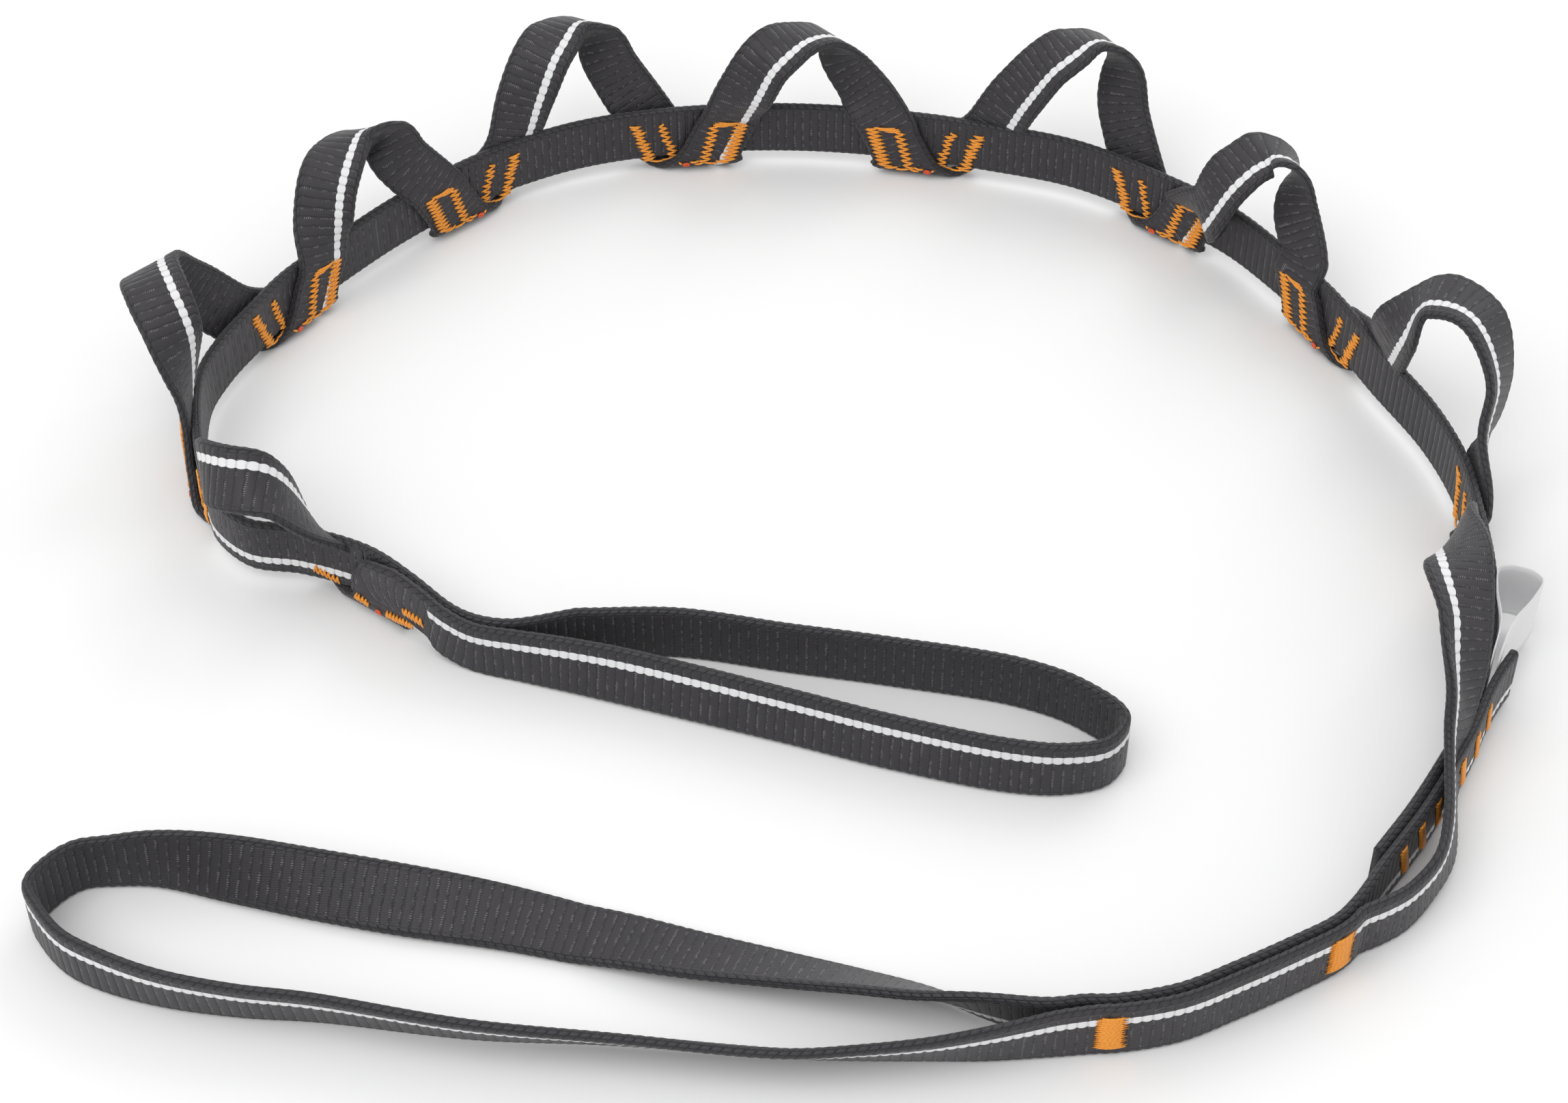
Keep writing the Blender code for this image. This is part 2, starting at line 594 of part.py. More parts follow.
def overlap_tack_rows(share):
    """A slanting bar of thread on the sewn end, inside the long pocket."""
    s = TAIL_FREE_END_S + (CHAIN.total - TAIL_FREE_END_S) * share
    rows = []
    for edge in (-TACK_HALF_WIDTH, TACK_HALF_WIDTH):
        row = []
        for z in (BAR_FOOT, BAR_HEAD):
            along = s + edge + (z - HALF_WIDTH) * math.tan(BAR_SLANT)
            row.append(on_chain(along, overlap_offset(along) + FACE_OUT, z + chain_base(along)))
        rows.append(row)
    return np.array(rows)


def doubled_tack_rows(place):
    """An upright bar of thread on the outer layer of the doubled section."""
    middle = BIG_LOOP.length_near(np.array(place) * LAYOUT_REACH)
    rows = []
    for edge in (-DOUBLED_BAR_HALF_WIDTH, 0, DOUBLED_BAR_HALF_WIDTH):
        x, y = beside_big_loop(middle + edge, LAYER_PITCH + FACE_OUT)
        rows.append([[x, y, BAR_FOOT], [x, y, BAR_HEAD]])
    return np.array(rows)


def build_overlap(body):
    """The sewn overlap, the long pocket and the doubled section, all part of the last link."""
    body.add_strap("overlap_strap", lap_rows())
    body.add_strap("long_pocket_strap", doubled_rows())
    for number, share in enumerate(OVERLAP_TACK_SHARES):
        body.add_thread(f"overlap_tack_{number}", overlap_tack_rows(share))
    for letter, place in DOUBLED_TACK_SHARES.items():
        body.add_thread(f"doubled_tack_{letter}", doubled_tack_rows(place))


def build_big_loop(root):
    """The big end loop, which flexes where the doubled section ends."""
    place = beside_big_loop(HINGE_LENGTH, LAYER_PITCH / 2)
    body = Body("big_end_loop", [*place, HALF_WIDTH], root)
    start = HINGE_LENGTH + LOOP_GAP / 2
    twist = standing_rows(BIG_LOOP, start, TWIST_END_LENGTH - LAYER_GAP)
    far = standing_rows(BIG_LOOP, TWIST_END_LENGTH + LAYER_GAP, LEFT_END_LENGTH - LAYER_GAP)
    near = standing_rows(BIG_LOOP, LEFT_END_LENGTH + LAYER_GAP, BIG_LOOP.total)
    end = np.append(beside_big_loop(start, LAYER_PITCH), 0.0)
    near = np.concatenate([near, [[end, end + [0, 0, WEBBING_WIDTH]]]])
    for name, rows in (("twist", twist), ("far", far), ("near", near)):
        body.add_strap(f"big_loop_{name}", rows)


def build_label(root):
    """A folded ribbon, its root caught between the backbone and the sewn end."""
    root_s = TAIL_FREE_END_S + WEBBING_WIDTH / 3
    room = overlap_offset(root_s) - WEBBING_THICKNESS
    foot = on_chain(root_s, HALF_THICKNESS + room / 2, WEBBING_WIDTH / 4)
    heading = unit([*LABEL_HEADING_SHARES, 0.0])
    left = np.array([-heading[1], heading[0], 0.0])
    outline = LABEL_OUTLINE_SHARES + [(1.0, 0.0)]
    outline = outline + [(share, -out) for share, out in LABEL_OUTLINE_SHARES[::-1]]
    rows = []
    for share, out in outline:
        place = foot + heading * LABEL_REACH * share + left * out * LABEL_SPREAD / 2
        rows.append([place, place + [0, 0, LABEL_HEIGHT]])
    body = Body("label", foot, root)
    body.add_sheet("label", np.array(rows), LABEL_THICKNESS, LABEL_COLOUR, 0.7)


def centre_on_floor(root):
    """Stands the whole layout on the floor with its box centred on the origin."""
    bpy.context.view_layer.update()
    graph = bpy.context.evaluated_depsgraph_get()
    corners = []
    for obj in bpy.data.collections[NAME].objects:
        if obj.type == "MESH":
            solid = obj.evaluated_get(graph)
            corners += [obj.matrix_world @ vert.co for vert in solid.data.vertices]
    corners = np.array(corners)
    low, high = corners.min(axis=0), corners.max(axis=0)
    middle = (low + high) / 2
    root.empty.location = np.array(root.empty.location) - [middle[0], middle[1], low[2]]


def main():
    clear_scene()
    collection = bpy.data.collections.new(NAME)
    bpy.context.scene.collection.children.link(collection)
    links = build_links()
    root = links[JUNCTIONS - 1]
    build_small_loop(links[0])
    build_overlap(root)
    build_big_loop(root)
    build_label(root)
    centre_on_floor(root)


main()
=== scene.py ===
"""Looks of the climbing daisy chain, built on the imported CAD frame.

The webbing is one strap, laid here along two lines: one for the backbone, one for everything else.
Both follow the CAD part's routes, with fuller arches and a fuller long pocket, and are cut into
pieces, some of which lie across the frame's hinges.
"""

import math

import bmesh
import bpy
import numpy as np
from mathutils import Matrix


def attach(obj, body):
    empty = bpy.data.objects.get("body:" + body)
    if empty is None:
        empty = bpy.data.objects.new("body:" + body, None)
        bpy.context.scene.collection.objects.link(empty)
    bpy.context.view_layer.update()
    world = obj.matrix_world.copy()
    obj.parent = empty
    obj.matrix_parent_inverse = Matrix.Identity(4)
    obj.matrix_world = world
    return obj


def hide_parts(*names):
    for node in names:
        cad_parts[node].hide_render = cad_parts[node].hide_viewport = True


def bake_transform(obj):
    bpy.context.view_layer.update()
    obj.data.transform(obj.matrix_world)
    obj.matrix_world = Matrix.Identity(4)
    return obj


bl_info = {
    "name": "Climbing daisy chain",
    "version": (1, 0, 0),
    "blender": (4, 5, 0),
    "location": "View3D > Sidebar > Daisy chain",
    "description": "Sewn webbing, thread and label of a climbing daisy chain on its CAD frame",
    "category": "Object",
}

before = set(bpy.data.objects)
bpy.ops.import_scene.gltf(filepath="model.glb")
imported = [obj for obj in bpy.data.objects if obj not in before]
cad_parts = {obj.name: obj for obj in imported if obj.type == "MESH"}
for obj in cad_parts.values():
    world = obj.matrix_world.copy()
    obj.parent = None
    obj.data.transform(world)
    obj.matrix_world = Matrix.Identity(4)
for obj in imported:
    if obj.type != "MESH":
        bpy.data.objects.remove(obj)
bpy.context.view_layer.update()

# Where the layout's origin lies in the frame, and the length that its routes are shares of
LAYOUT_PLACE = (-0.010227, -0.002865, 0.000095)
LAYOUT_REACH = 0.200

# The webbing as the CAD has it, and the heights and lengths of its folds
WEBBING_WIDTH = 0.018
WEBBING_THICKNESS = 0.0027
LAYER_GAP = 0.0003
HALF_WIDTH = WEBBING_WIDTH / 2
HALF_THICKNESS = WEBBING_THICKNESS / 2
LAYER_PITCH = WEBBING_THICKNESS + LAYER_GAP
FOLD_RADIUS = LAYER_PITCH
CHAIN_BASE = FOLD_RADIUS + HALF_THICKNESS
CHAIN_TOP = CHAIN_BASE + WEBBING_WIDTH
FOLD_REACH = FOLD_RADIUS * math.pi / 2
LEG_LENGTH = FOLD_REACH + WEBBING_WIDTH + LAYER_PITCH / 3

# How far a leg runs along the chain for what it rises, at its fold and past the reach where it eases
FOLD_SLOPE = 1.5
LEG_SLOPE = math.tan(math.radians(26))
EASE_REACH = 0.007

# The sewn end's last stretch, and how far it stands off the backbone there
FLARE_LENGTH = WEBBING_WIDTH
FLARE = WEBBING_WIDTH / 5

# How far to each side of its hinge the two places given for a bend lie
BEND_REACH = 0.8 * WEBBING_WIDTH

# Control rows: the most length and the most bend between two of them, steps of curve from one to
# the next, rows in a leg and in an arch, and the share of an arch in which they turn square to it
ROW_STEP = 0.0045
TURN_STEP = math.radians(15)
CURVE_STEPS = 24
LEG_ROWS = 4
ARCH_ROWS = 30
SQUARE_SHARE = 0.2

# The finished mesh: length of a cross row, points round an edge, columns on a face's half and round
# an edge, and the most that a row may lean from square, as a sine
FINE_STEP = 0.00058
EDGE_POINTS = 25
FACE_COLUMNS = 6
BRAID_COLUMNS = 17
MOST_LEAN = 0.7

# The backbone's route, as shares of the layout's reach: one row for each link
LEAD_PLACES = [(-0.273, -0.1975), (-0.3675, -0.2170), (-0.4320, -0.1980), (-0.4950, -0.1510)]
LINK_PLACES = [
    [(-0.560, -0.100), (-0.655, -0.063), (-0.7245, -0.050), (-0.773, -0.0055), (-0.7895, 0.033)],
    [(-0.8125, 0.110), (-0.8275, 0.250), (-0.8065, 0.326), (-0.775, 0.390)],
    [(-0.7325, 0.468), (-0.670, 0.545), (-0.585, 0.6425)],
    [(-0.486, 0.7325), (-0.400, 0.790), (-0.300, 0.835)],
    [(-0.1505, 0.8665), (0.035, 0.8725)],
    [(0.2225, 0.8475), (0.310, 0.825), (0.450, 0.780)],
    [(0.582, 0.694), (0.670, 0.620), (0.740, 0.525)],
    [(0.7985, 0.429), (0.855, 0.300), (0.910, 0.180), (0.9375, 0.075)],
    [
        (0.9425, -0.015), (0.9425, -0.125), (0.930, -0.225), (0.905, -0.310), (0.870, -0.390),
        (0.8325, -0.455), (0.785, -0.530), (0.730, -0.605),
    ],
]
JUNCTIONS = len(LINK_PLACES)
POCKETS = JUNCTIONS - 1
TAIL_FREE_END = (0.921, -0.270)

# Each pocket's arch, in webbing widths: along from the hinge, out from the backbone, up from its
# edge; then how far the strap has turned about its own run, in degrees
POCKET_ARCHES = [
    [
        (-1.12, 0.00, 0.09, 50), (-0.71, 0.27, 0.95, 94), (-0.31, 0.37, 1.20, 133),
        (0.24, 0.29, 0.99, 153), (0.68, 0.02, 0.51, 163), (1.07, -0.22, -0.08, 174),
    ],
    [
        (-1.25, 0.11, 0.37, 14), (-1.05, 0.18, 1.30, 59), (-0.55, 0.47, 1.68, 94),
        (0.01, 0.83, 1.41, 132), (0.50, 0.66, 0.66, 154), (0.99, 0.24, -0.13, 177),
    ],
    [
        (-1.09, -0.04, 0.41, 39), (-0.73, 0.15, 0.94, 57), (-0.26, 0.34, 1.18, 88),
        (0.19, 0.47, 1.22, 116), (0.62, 0.29, 1.10, 128), (0.77, 0.06, 0.63, 161),
    ],
    [
        (-1.11, 0.09, -0.14, -1), (-0.72, 0.16, 0.71, 24), (-0.20, 0.44, 1.35, 60),
        (0.31, 0.80, 1.44, 112), (0.65, 0.79, 1.27, 124), (0.82, 0.52, 0.72, 161),
    ],
    [
        (-1.08, -0.39, 0.53, 17), (-0.67, -0.34, 1.21, 43), (-0.15, -0.00, 1.38, 92),
        (0.35, 0.34, 1.17, 123), (0.59, 0.28, 0.73, 157), (1.00, 0.07, 0.28, 175),
    ],
    [
        (-1.18, 0.11, -0.30, -1), (-0.68, 0.06, 0.61, 24), (-0.09, 0.25, 1.43, 55),
        (0.39, 0.75, 1.57, 112), (0.74, 0.83, 1.35, 145), (1.00, 0.53, 0.51, 181),
    ],
    [
        (-0.67, -0.66, 0.21, 22), (-0.33, -0.44, 1.06, 19), (-0.13, 0.19, 1.33, 89),
        (0.24, 0.40, 1.21, 142), (0.62, 0.18, 0.65, 188), (1.16, -0.01, 0.06, 187),
    ],
    [
        (-1.18, 0.09, -0.19, -1), (-0.54, -0.21, 0.84, 2), (-0.25, 0.15, 1.62, 66),
        (0.42, 0.54, 1.64, 107), (1.03, 0.63, 0.95, 136), (1.49, 0.32, 0.12, 144),
    ],
]
# How far up its two legs each arch takes over, as shares of a leg
POCKET_GRIPS = [
    (0.35, 0.5), (0.5, 0.4), (0.8, 0.8), (0.5, 0.7), (0.8, 0.8), (0.45, 0.6), (0.75, 0.8), (0.45, 0.6),
]
# The side of the backbone that each pocket, each leg and each junction's stitches are on: 1 is outer
POCKET_SIDES = [-1, 1, -1, 1, -1, 1, -1, 1]
LONG_POCKET_SIDE = -1
FOLD_SIDES = [*POCKET_SIDES, LONG_POCKET_SIDE]
TACK_SIDES = [1, 1, -1, -1, -1, -1, -1, -1, -1]

# The fan at the small loop's neck: each row's two ends, in webbing widths from the first junction
NECK_ROWS = [
    ((-2.09, 0.00), (-2.09, 1.00)),
    ((-1.72, 0.17), (-1.67, 1.02)),
    ((-1.44, 0.38), (-1.17, 1.03)),
    ((-1.25, 0.48), (-0.67, 1.03)),
    ((-1.08, 0.49), (-0.22, 0.96)),
    ((-0.94, 0.43), (0.06, 0.78)),
    ((-0.83, 0.34), (0.25, 0.53)),
]

# Strands that stand on the floor: (x, y) as shares of the reach, and the lean in degrees
SMALL_LOOP = [
    (-0.350, -0.2400, -3), (-0.270, -0.2600, -9), (-0.200, -0.280, -12), (0.000, -0.345, -9),
    (0.142, -0.3925, -8), (0.290, -0.432, -6), (0.360, -0.4375, -3), (0.415, -0.4230, 0),
    (0.4375, -0.380, 0), (0.390, -0.3275, 0), (0.310, -0.2875, 0), (0.135, -0.2485, 0),
    (0.005, -0.225, 0), (-0.140, -0.197, 0), (-0.273, -0.1975, 0),
]
SMALL_LOOP_BIGHT = (0.4375, -0.380)
BIG_LOOP = [
    (0.710, -0.663, 180), (0.670, -0.708, 180), (0.613, -0.742, 180), (0.540, -0.780, 180),
    (0.4675, -0.8135, 180), (0.390, -0.829, 180), (0.355, -0.8295, 180), (0.3135, -0.829, 172),
    (0.242, -0.811, 158), (0.1685, -0.787, 138), (0.0875, -0.7655, 128), (0.0015, -0.744, 118),
    (-0.106, -0.7155, 106), (-0.2245, -0.680, 93), (-0.344, -0.653, 80), (-0.484, -0.635, 57),
    (-0.582, -0.6185, 45), (-0.681, -0.5995, 32), (-0.780, -0.5855, 10), (-0.835, -0.5885, 2),
    (-0.875, -0.595, 0), (-0.905, -0.620, 0), (-0.9225, -0.655, 0), (-0.905, -0.690, 0),
    (-0.870, -0.730, 2), (-0.826, -0.7555, 4), (-0.7515, -0.7835, 10), (-0.655, -0.803, 15),
    (-0.560, -0.813, 19), (-0.3715, -0.844, 27), (-0.200, -0.857, 34), (0.0015, -0.877, 36),
    (0.085, -0.877, 31), (0.170, -0.873, 24), (0.240, -0.866, 14), (0.320, -0.852, 3),
]
BIG_LOOP_HINGE = (0.3575, -0.8295)
BIG_LOOP_LEFT_END = (-0.9225, -0.655)

# The long pocket: (x, y) as shares of the reach, height in widths, and the striped edge's direction
LONG_POCKET = [
    ((0.878, -0.162, 2.08), (-0.51, -0.74, -0.44)),
    ((0.855, -0.270, 2.80), (-0.98, -0.21, -0.05)),
    ((0.854, -0.358, 2.50), (-0.78, -0.03, 0.63)),
    ((0.848, -0.416, 1.61), (-0.33, -0.09, 0.94)),
    ((0.843, -0.457, 0.91), (-0.18, 0.15, 0.97)),
    ((0.828, -0.563, 0.65), (-0.16, 0.08, 0.98)),
    ((0.802, -0.620, 0.60), (0.00, 0.00, 1.00)),
    ((0.765, -0.660, 0.50), (0.00, 0.00, 1.00)),
    ((0.732, -0.682, 0.50), (0.00, 0.00, 1.00)),
]

# Where the doubled section starts and where its two broad tacks are, and the sewn end's tacks as
# shares of its length
DOUBLED_START = (0.690, -0.688)
DOUBLED_TACKS = {"a": (0.662, -0.713), "b": (0.385, -0.829)}
OVERLAP_TACKS = [0.20, 0.33, 0.46, 0.66, 0.78, 0.90]
OVERLAP_SLANT = math.radians(18)

# How far into the fan at the small loop's neck the white tracer shows
STRIPE_INTO_FAN = 0.025

# The label: its direction from its root, half its outline along its reach, how many of its curve's
# steps make one of its own, rows of places up it, and the share of its reach at which the second of its blend
# places lies
LABEL_HEADING = (0.36, 0.933)
LABEL_OUTLINE = [(0.0, 0.145), (0.35, 0.22), (0.7, 0.8), (0.9, 1.0), (0.98, 0.6)]
LABEL_STEPS = 4
LABEL_ROWS = 10
LABEL_BEND = 0.3

# The mesh's weave: how square ribs and links are, how much a link crowns and slants, and how deep
# the braid is and how soon it fades into the ribs
RIB_SQUARENESS = 0.6
LINK_SQUARENESS = 0.5
LINK_CROWN = 2.4
LINK_SLANT = 0.35
LINK_STAGGER = 0.5
BRAID_DEPTH = 1.4
BRAID_FADE = 0.35

# How far in from each edge the strap's section is rounded, as a share of half its thickness
EDGE_ROUNDING = 0.92


def size_setting(name, description, default):
    return bpy.props.FloatProperty(name=name, description=description, default=default, unit="LENGTH")


def colour_setting(name, description, default):
    return bpy.props.FloatVectorProperty(
        name=name, description=description, default=(*default, 1.0), size=4, subtype="COLOR"
    )


class WebbingSettings(bpy.types.PropertyGroup):
    """Sizes and colours of the webbing."""

    rib_pitch: size_setting("Rib pitch", "Length of one crosswise rib", 0.0026)
    rib_depth: size_setting("Rib depth", "Depth of the grooves between ribs", 0.00022)
    yarn_pitch: size_setting("Yarn pitch", "Distance between lengthwise yarns", 0.00060)
    braid_pitch: size_setting("Braid pitch", "Width of one row of the edge's braid", 0.00115)
    braid_reach: size_setting("Braid reach", "How far the braid goes round each edge", 0.0032)
    stripe_place: size_setting("Stripe place", "From the strap's middle to the stripe's", 0.0042)
    stripe_width: size_setting("Stripe width", "Width of the white tracer", 0.0022)
    colour: colour_setting("Colour", "Polyester yarn", (0.0225, 0.020, 0.0240))
    # Painted shade: the near-black colour that the grooves between ribs and the gaps of the edge braid are
    # darkened toward
    groove_shade_colour: colour_setting("Groove colour", "Between ribs", (0.006, 0.005, 0.007))
    # Painted highlight: the colour that the raised yarn ends on the ribs' flanks are lightened toward
    lit_colour: colour_setting("Lit colour", "Raised yarns", (0.20, 0.19, 0.21))
    stripe_colour: colour_setting("Stripe colour", "White tracer", (0.80, 0.80, 0.81))


class ThreadSettings(bpy.types.PropertyGroup):
    """Sizes and colours of the sewing thread."""

    thickness: size_setting("Thickness", "Across the sewing thread", 0.00064)
    stitch_pitch: size_setting("Stitch pitch", "Between neighbouring stitches", 0.00088)
    colour: colour_setting("Colour", "Orange thread", (0.95, 0.34, 0.014))
    knot_colour: colour_setting("Knot colour", "Thread of the knots", (0.80, 0.09, 0.010))


class LabelSettings(bpy.types.PropertyGroup):
    """Sizes and colours of the folded ribbon."""

    height: size_setting("Height", "Ribbon width", 0.018)
    reach: size_setting("Reach", "From root to fold", 0.034)
    spread: size_setting("Spread", "Across its bulge", 0.012)
    thickness: size_setting("Thickness", "Of the ribbon", 0.0004)
    colour: colour_setting("Colour", "White ribbon", (0.80, 0.80, 0.81))


class StageSettings(bpy.types.PropertyGroup):
    """Camera, floor and light."""

    camera_place: bpy.props.FloatVectorProperty(
        name="Camera place", description="As in the photograph", default=(-0.01023, -0.61805, 0.61528),
        size=3, subtype="XYZ",
    )
    camera_tilt: bpy.props.FloatProperty(
        name="Camera tilt", description="From straight down", default=math.radians(45), subtype="ANGLE"
    )
    focal_length: bpy.props.FloatProperty(
        name="Focal length", description="In millimetres on a 36 mm sensor", default=72.13
    )
    floor_colour: colour_setting("Floor colour", "Pale floor", (0.93, 0.93, 0.93))
    key_power: bpy.props.FloatProperty(
        name="Key power", description="Large soft lamp", default=8.4, unit="POWER"
    )
    rim_power: bpy.props.FloatProperty(name="Rim power", description="Lamp behind", default=4.0, unit="POWER")
    world_strength: bpy.props.FloatProperty(name="World strength", description="Even light", default=0.76)


def unit(vectors):
    vectors = np.asarray(vectors, float)
    return vectors / np.linalg.norm(vectors, axis=-1, keepdims=True)


def smooth_step(value):
    value = np.clip(value, 0, 1)
    return value * value * (3 - 2 * value)


def between(t, start, end, first, second):
    return ((end - t) * first + (t - start) * second) / (end - start)


def lengths_along(points):
    """Each point's length from the first one, along straight runs between them."""
    steps = np.linalg.norm(np.diff(points, axis=0), axis=1)
    return np.concatenate([[0.0], np.cumsum(steps)])


def left_of(heading):
    return np.stack([-heading[..., 1], heading[..., 0]], -1)


def smooth_curve(points, dims):
    """A centripetal Catmull-Rom curve through the points, spaced by their first dims columns."""
    points = np.asarray(points, float)
    points = np.vstack([2 * points[0] - points[1], points, 2 * points[-1] - points[-2]])
    spans = np.linalg.norm(np.diff(points[:, :dims], axis=0), axis=1)
    knots = np.concatenate([[0.0], np.cumsum(np.sqrt(spans))])
    curve = [points[1]]
    for i in range(1, len(points) - 2):
        k0, k1, k2, k3 = knots[i - 1 : i + 3]
        p0, p1, p2, p3 = points[i - 1 : i + 3]
        for t in np.linspace(k1, k2, CURVE_STEPS + 1)[1:]:
            before = between(t, k0, k1, p0, p1)
            middle = between(t, k1, k2, p1, p2)
            after = between(t, k2, k3, p2, p3)
            first = between(t, k0, k2, before, middle)
            second = between(t, k1, k3, middle, after)
            curve.append(between(t, k1, k2, first, second))
    return np.array(curve)


class Route:
    """A smooth curve that is read by its length from the start."""

    def __init__(self, points, dims):
        self.values = smooth_curve(points, dims)
        self.dims = dims
        places = self.values[:, :dims]
        self.lengths = lengths_along(places)
        self.total = self.lengths[-1]
        runs = unit(np.diff(places, axis=0))
        turns = np.arccos(np.clip(np.sum(runs[1:] * runs[:-1], axis=1), -1, 1))
        turned = np.concatenate([[0.0, 0.0], np.cumsum(turns)])
        self.rows = self.lengths / ROW_STEP + turned / TURN_STEP

    def at(self, length):
        columns = [np.interp(length, self.lengths, column) for column in self.values.T]
        return np.stack(columns, -1)

    def heading(self, length, near=HALF_THICKNESS):
        ahead = self.at(np.minimum(np.asarray(length) + near, self.total))[..., : self.dims]
        behind = self.at(np.maximum(np.asarray(length) - near, 0))[..., : self.dims]
        return unit(ahead - behind)

    def stations(self, start, end):
        """Lengths for the cross rows, closer together where the route bends."""
        first, last = np.interp([start, end], self.lengths, self.rows)
        count = max(2, math.ceil(last - first) + 1)
        return np.interp(np.linspace(first, last, count), self.rows, self.lengths)

    def length_near(self, place):
        gaps = np.linalg.norm(self.values[:, :2] - np.asarray(place) * LAYOUT_REACH, axis=1)
        return self.lengths[int(np.argmin(gaps))]

    def length_of(self, control):
        """The length at a control point."""
        return self.lengths[control * CURVE_STEPS]


CHAIN = Route(np.array(LEAD_PLACES + [p for row in LINK_PLACES for p in row]) * LAYOUT_REACH, 2)
JUNCTION_S = [CHAIN.length_near(row[0]) for row in LINK_PLACES]
HINGE_S = [(a + b) / 2 for a, b in zip(JUNCTION_S[:-1], JUNCTION_S[1:])]
NECK_S = JUNCTION_S[0] + NECK_ROWS[0][0][0] * WEBBING_WIDTH
TAIL_FREE_END_S = CHAIN.length_near(TAIL_FREE_END)


def on_chain(s, n, z):
    """The place in the layout of a place on the chain: along it, out from it and up."""
    s, n, z = np.broadcast_arrays(*(np.asarray(v, float) for v in (s, n, z)))
    inside = np.clip(s, 0, CHAIN.total)
    heading = CHAIN.heading(inside)
    places = CHAIN.at(inside) + heading * (s - inside)[..., None]
    return np.concatenate([places + left_of(heading) * n[..., None], z[..., None]], -1)


def chain_base(s):
    """The height of the backbone's lower edge, which comes down to the floor past both ends."""
    start = smooth_step((s - NECK_S) / (JUNCTION_S[0] - WEBBING_WIDTH / 2 - NECK_S))
    end = smooth_step((s - JUNCTION_S[-1] - WEBBING_WIDTH) / (3 * WEBBING_WIDTH))
    return CHAIN_BASE * start * (1 - end)


def leg_run(reach):
    """How far along the chain a leg has come: steeply at first, where it crosses under the backbone."""
    eased = min(reach, EASE_REACH)
    turn = (FOLD_SLOPE - LEG_SLOPE) / (2 * EASE_REACH)
    return FOLD_SLOPE * eased - turn * eased**2 + LEG_SLOPE * max(reach - EASE_REACH, 0)


def leg_centre(reach, junction, direction, side):
    """A place on the strap's centreline at this height of unrolled leg, measured from the fold."""
    s = JUNCTION_S[junction] + direction * leg_run(reach)
    if reach < FOLD_REACH:
        turn = reach / FOLD_RADIUS
        return [s, side * FOLD_RADIUS * math.sin(turn), CHAIN_BASE - FOLD_RADIUS * math.cos(turn)]
    return [s, side * FOLD_RADIUS, CHAIN_BASE + reach - FOLD_REACH]


def arch_rows(pocket):
    """Centres and striped-edge directions along a pocket's arch, from leg to leg.

    The rows lie square to the strap's run and turn half round about it on the way.
    """
    side = POCKET_SIDES[pocket]
    rising, falling = np.array(POCKET_GRIPS[pocket]) * LEG_LENGTH
    near = [leg_centre(reach, pocket, 1, side) for reach in (rising - ROW_STEP, rising)]
    far = [leg_centre(reach, pocket + 1, -1, side) for reach in (falling, falling - ROW_STEP)]
    rows = [[*place, 0.0] for place in near]
    for along, out, up, turn in POCKET_ARCHES[pocket]:
        place = np.array([along, out, up]) * WEBBING_WIDTH + [HINGE_S[pocket], 0.0, CHAIN_TOP]
        rows.append([*place, turn])
    rows += [[*place, 180.0] for place in far]
    route = Route(rows, 3)
    lengths = np.linspace(route.length_of(1), route.length_of(len(rows) - 2), ARCH_ROWS + 1)
    values = route.at(lengths)
    run = route.heading(lengths)
    turn = np.radians(values[:, 3:])
    across = unit(np.stack([-run[:, 2], 0 * run[:, 0], run[:, 0]], -1))
    edge = -np.cos(turn) * across - np.sin(turn) * np.array([0.0, 1.0, 0.0])
    edge = unit(edge - run * np.sum(run * edge, axis=1)[:, None])
    share = np.linspace(0, 1, ARCH_ROWS + 1)[:, None]
    square = smooth_step(share / SQUARE_SHARE) * smooth_step((1 - share) / SQUARE_SHARE)
    edge = edge * square + np.array([1.0, 0.0, 0.0]) * (1 - square)
    return list(zip(values[:, :3], edge))


class Controls:
    """Control rows of a strap line: centre, then the direction of the striped edge."""

    def __init__(self):
        self.rows = []
        self.marks = {}

    def add(self, centre, direction):
        self.rows.append(np.concatenate([np.asarray(centre, float), unit(direction)]))

    def add_on_chain(self, centre, direction):
        """A row whose place and direction are given along the chain, out from it and up."""
        heading = CHAIN.heading(np.clip(centre[0], 0, CHAIN.total))
        flat = heading * direction[0] + left_of(heading) * direction[1]
        self.add(on_chain(*centre), [*flat, direction[2]])

    def add_leg(self, reaches, junction, direction, side):
        """Rows of a leg, which all lie along the chain."""
        for reach in reaches:
            self.add_on_chain(leg_centre(reach, junction, direction, side), [1, 0, 0])

    def mark(self, name):
        self.marks[name] = len(self.rows) - 1

    def line(self):
        points = np.array(self.rows)
        points[:, :3] += LAYOUT_PLACE
        route = Route(points, 3)
        return route, {name: route.length_of(row) for name, row in self.marks.items()}


def add_standing(controls, table, lengths):
    """Rows of a strand that stands on the floor, leaning over by its route's angle."""
    values = table.at(lengths)
    heading = table.heading(lengths)
    for (x, y, degrees), (hx, hy) in zip(values, heading):
        lean = math.radians(degrees)
        edge = np.array([hy * math.sin(lean), -hx * math.sin(lean), math.cos(lean)])
        height = HALF_WIDTH * abs(math.cos(lean)) + HALF_THICKNESS * abs(math.sin(lean))
        controls.add([x, y, height], edge)


def table_route(rows):
    table = np.array(rows, float)
    table[:, :2] *= LAYOUT_REACH
    return Route(table, 2)


SMALL_ROUTE = table_route(SMALL_LOOP)
BIG_ROUTE = table_route(BIG_LOOP)
HINGE_LENGTH = BIG_ROUTE.length_near(BIG_LOOP_HINGE)


def beside_big_loop(length, out):
    """Places beside the big loop's route, this far to its left."""
    return BIG_ROUTE.at(length)[..., :2] + left_of(BIG_ROUTE.heading(length)) * out


def overlap_offset(s):
    """How far out the sewn end lies from the backbone: it flares away over its last stretch."""
    free = (TAIL_FREE_END_S + FLARE_LENGTH - s) / FLARE_LENGTH
    return LAYER_PITCH + FLARE * np.clip(free, 0, 1) ** 2


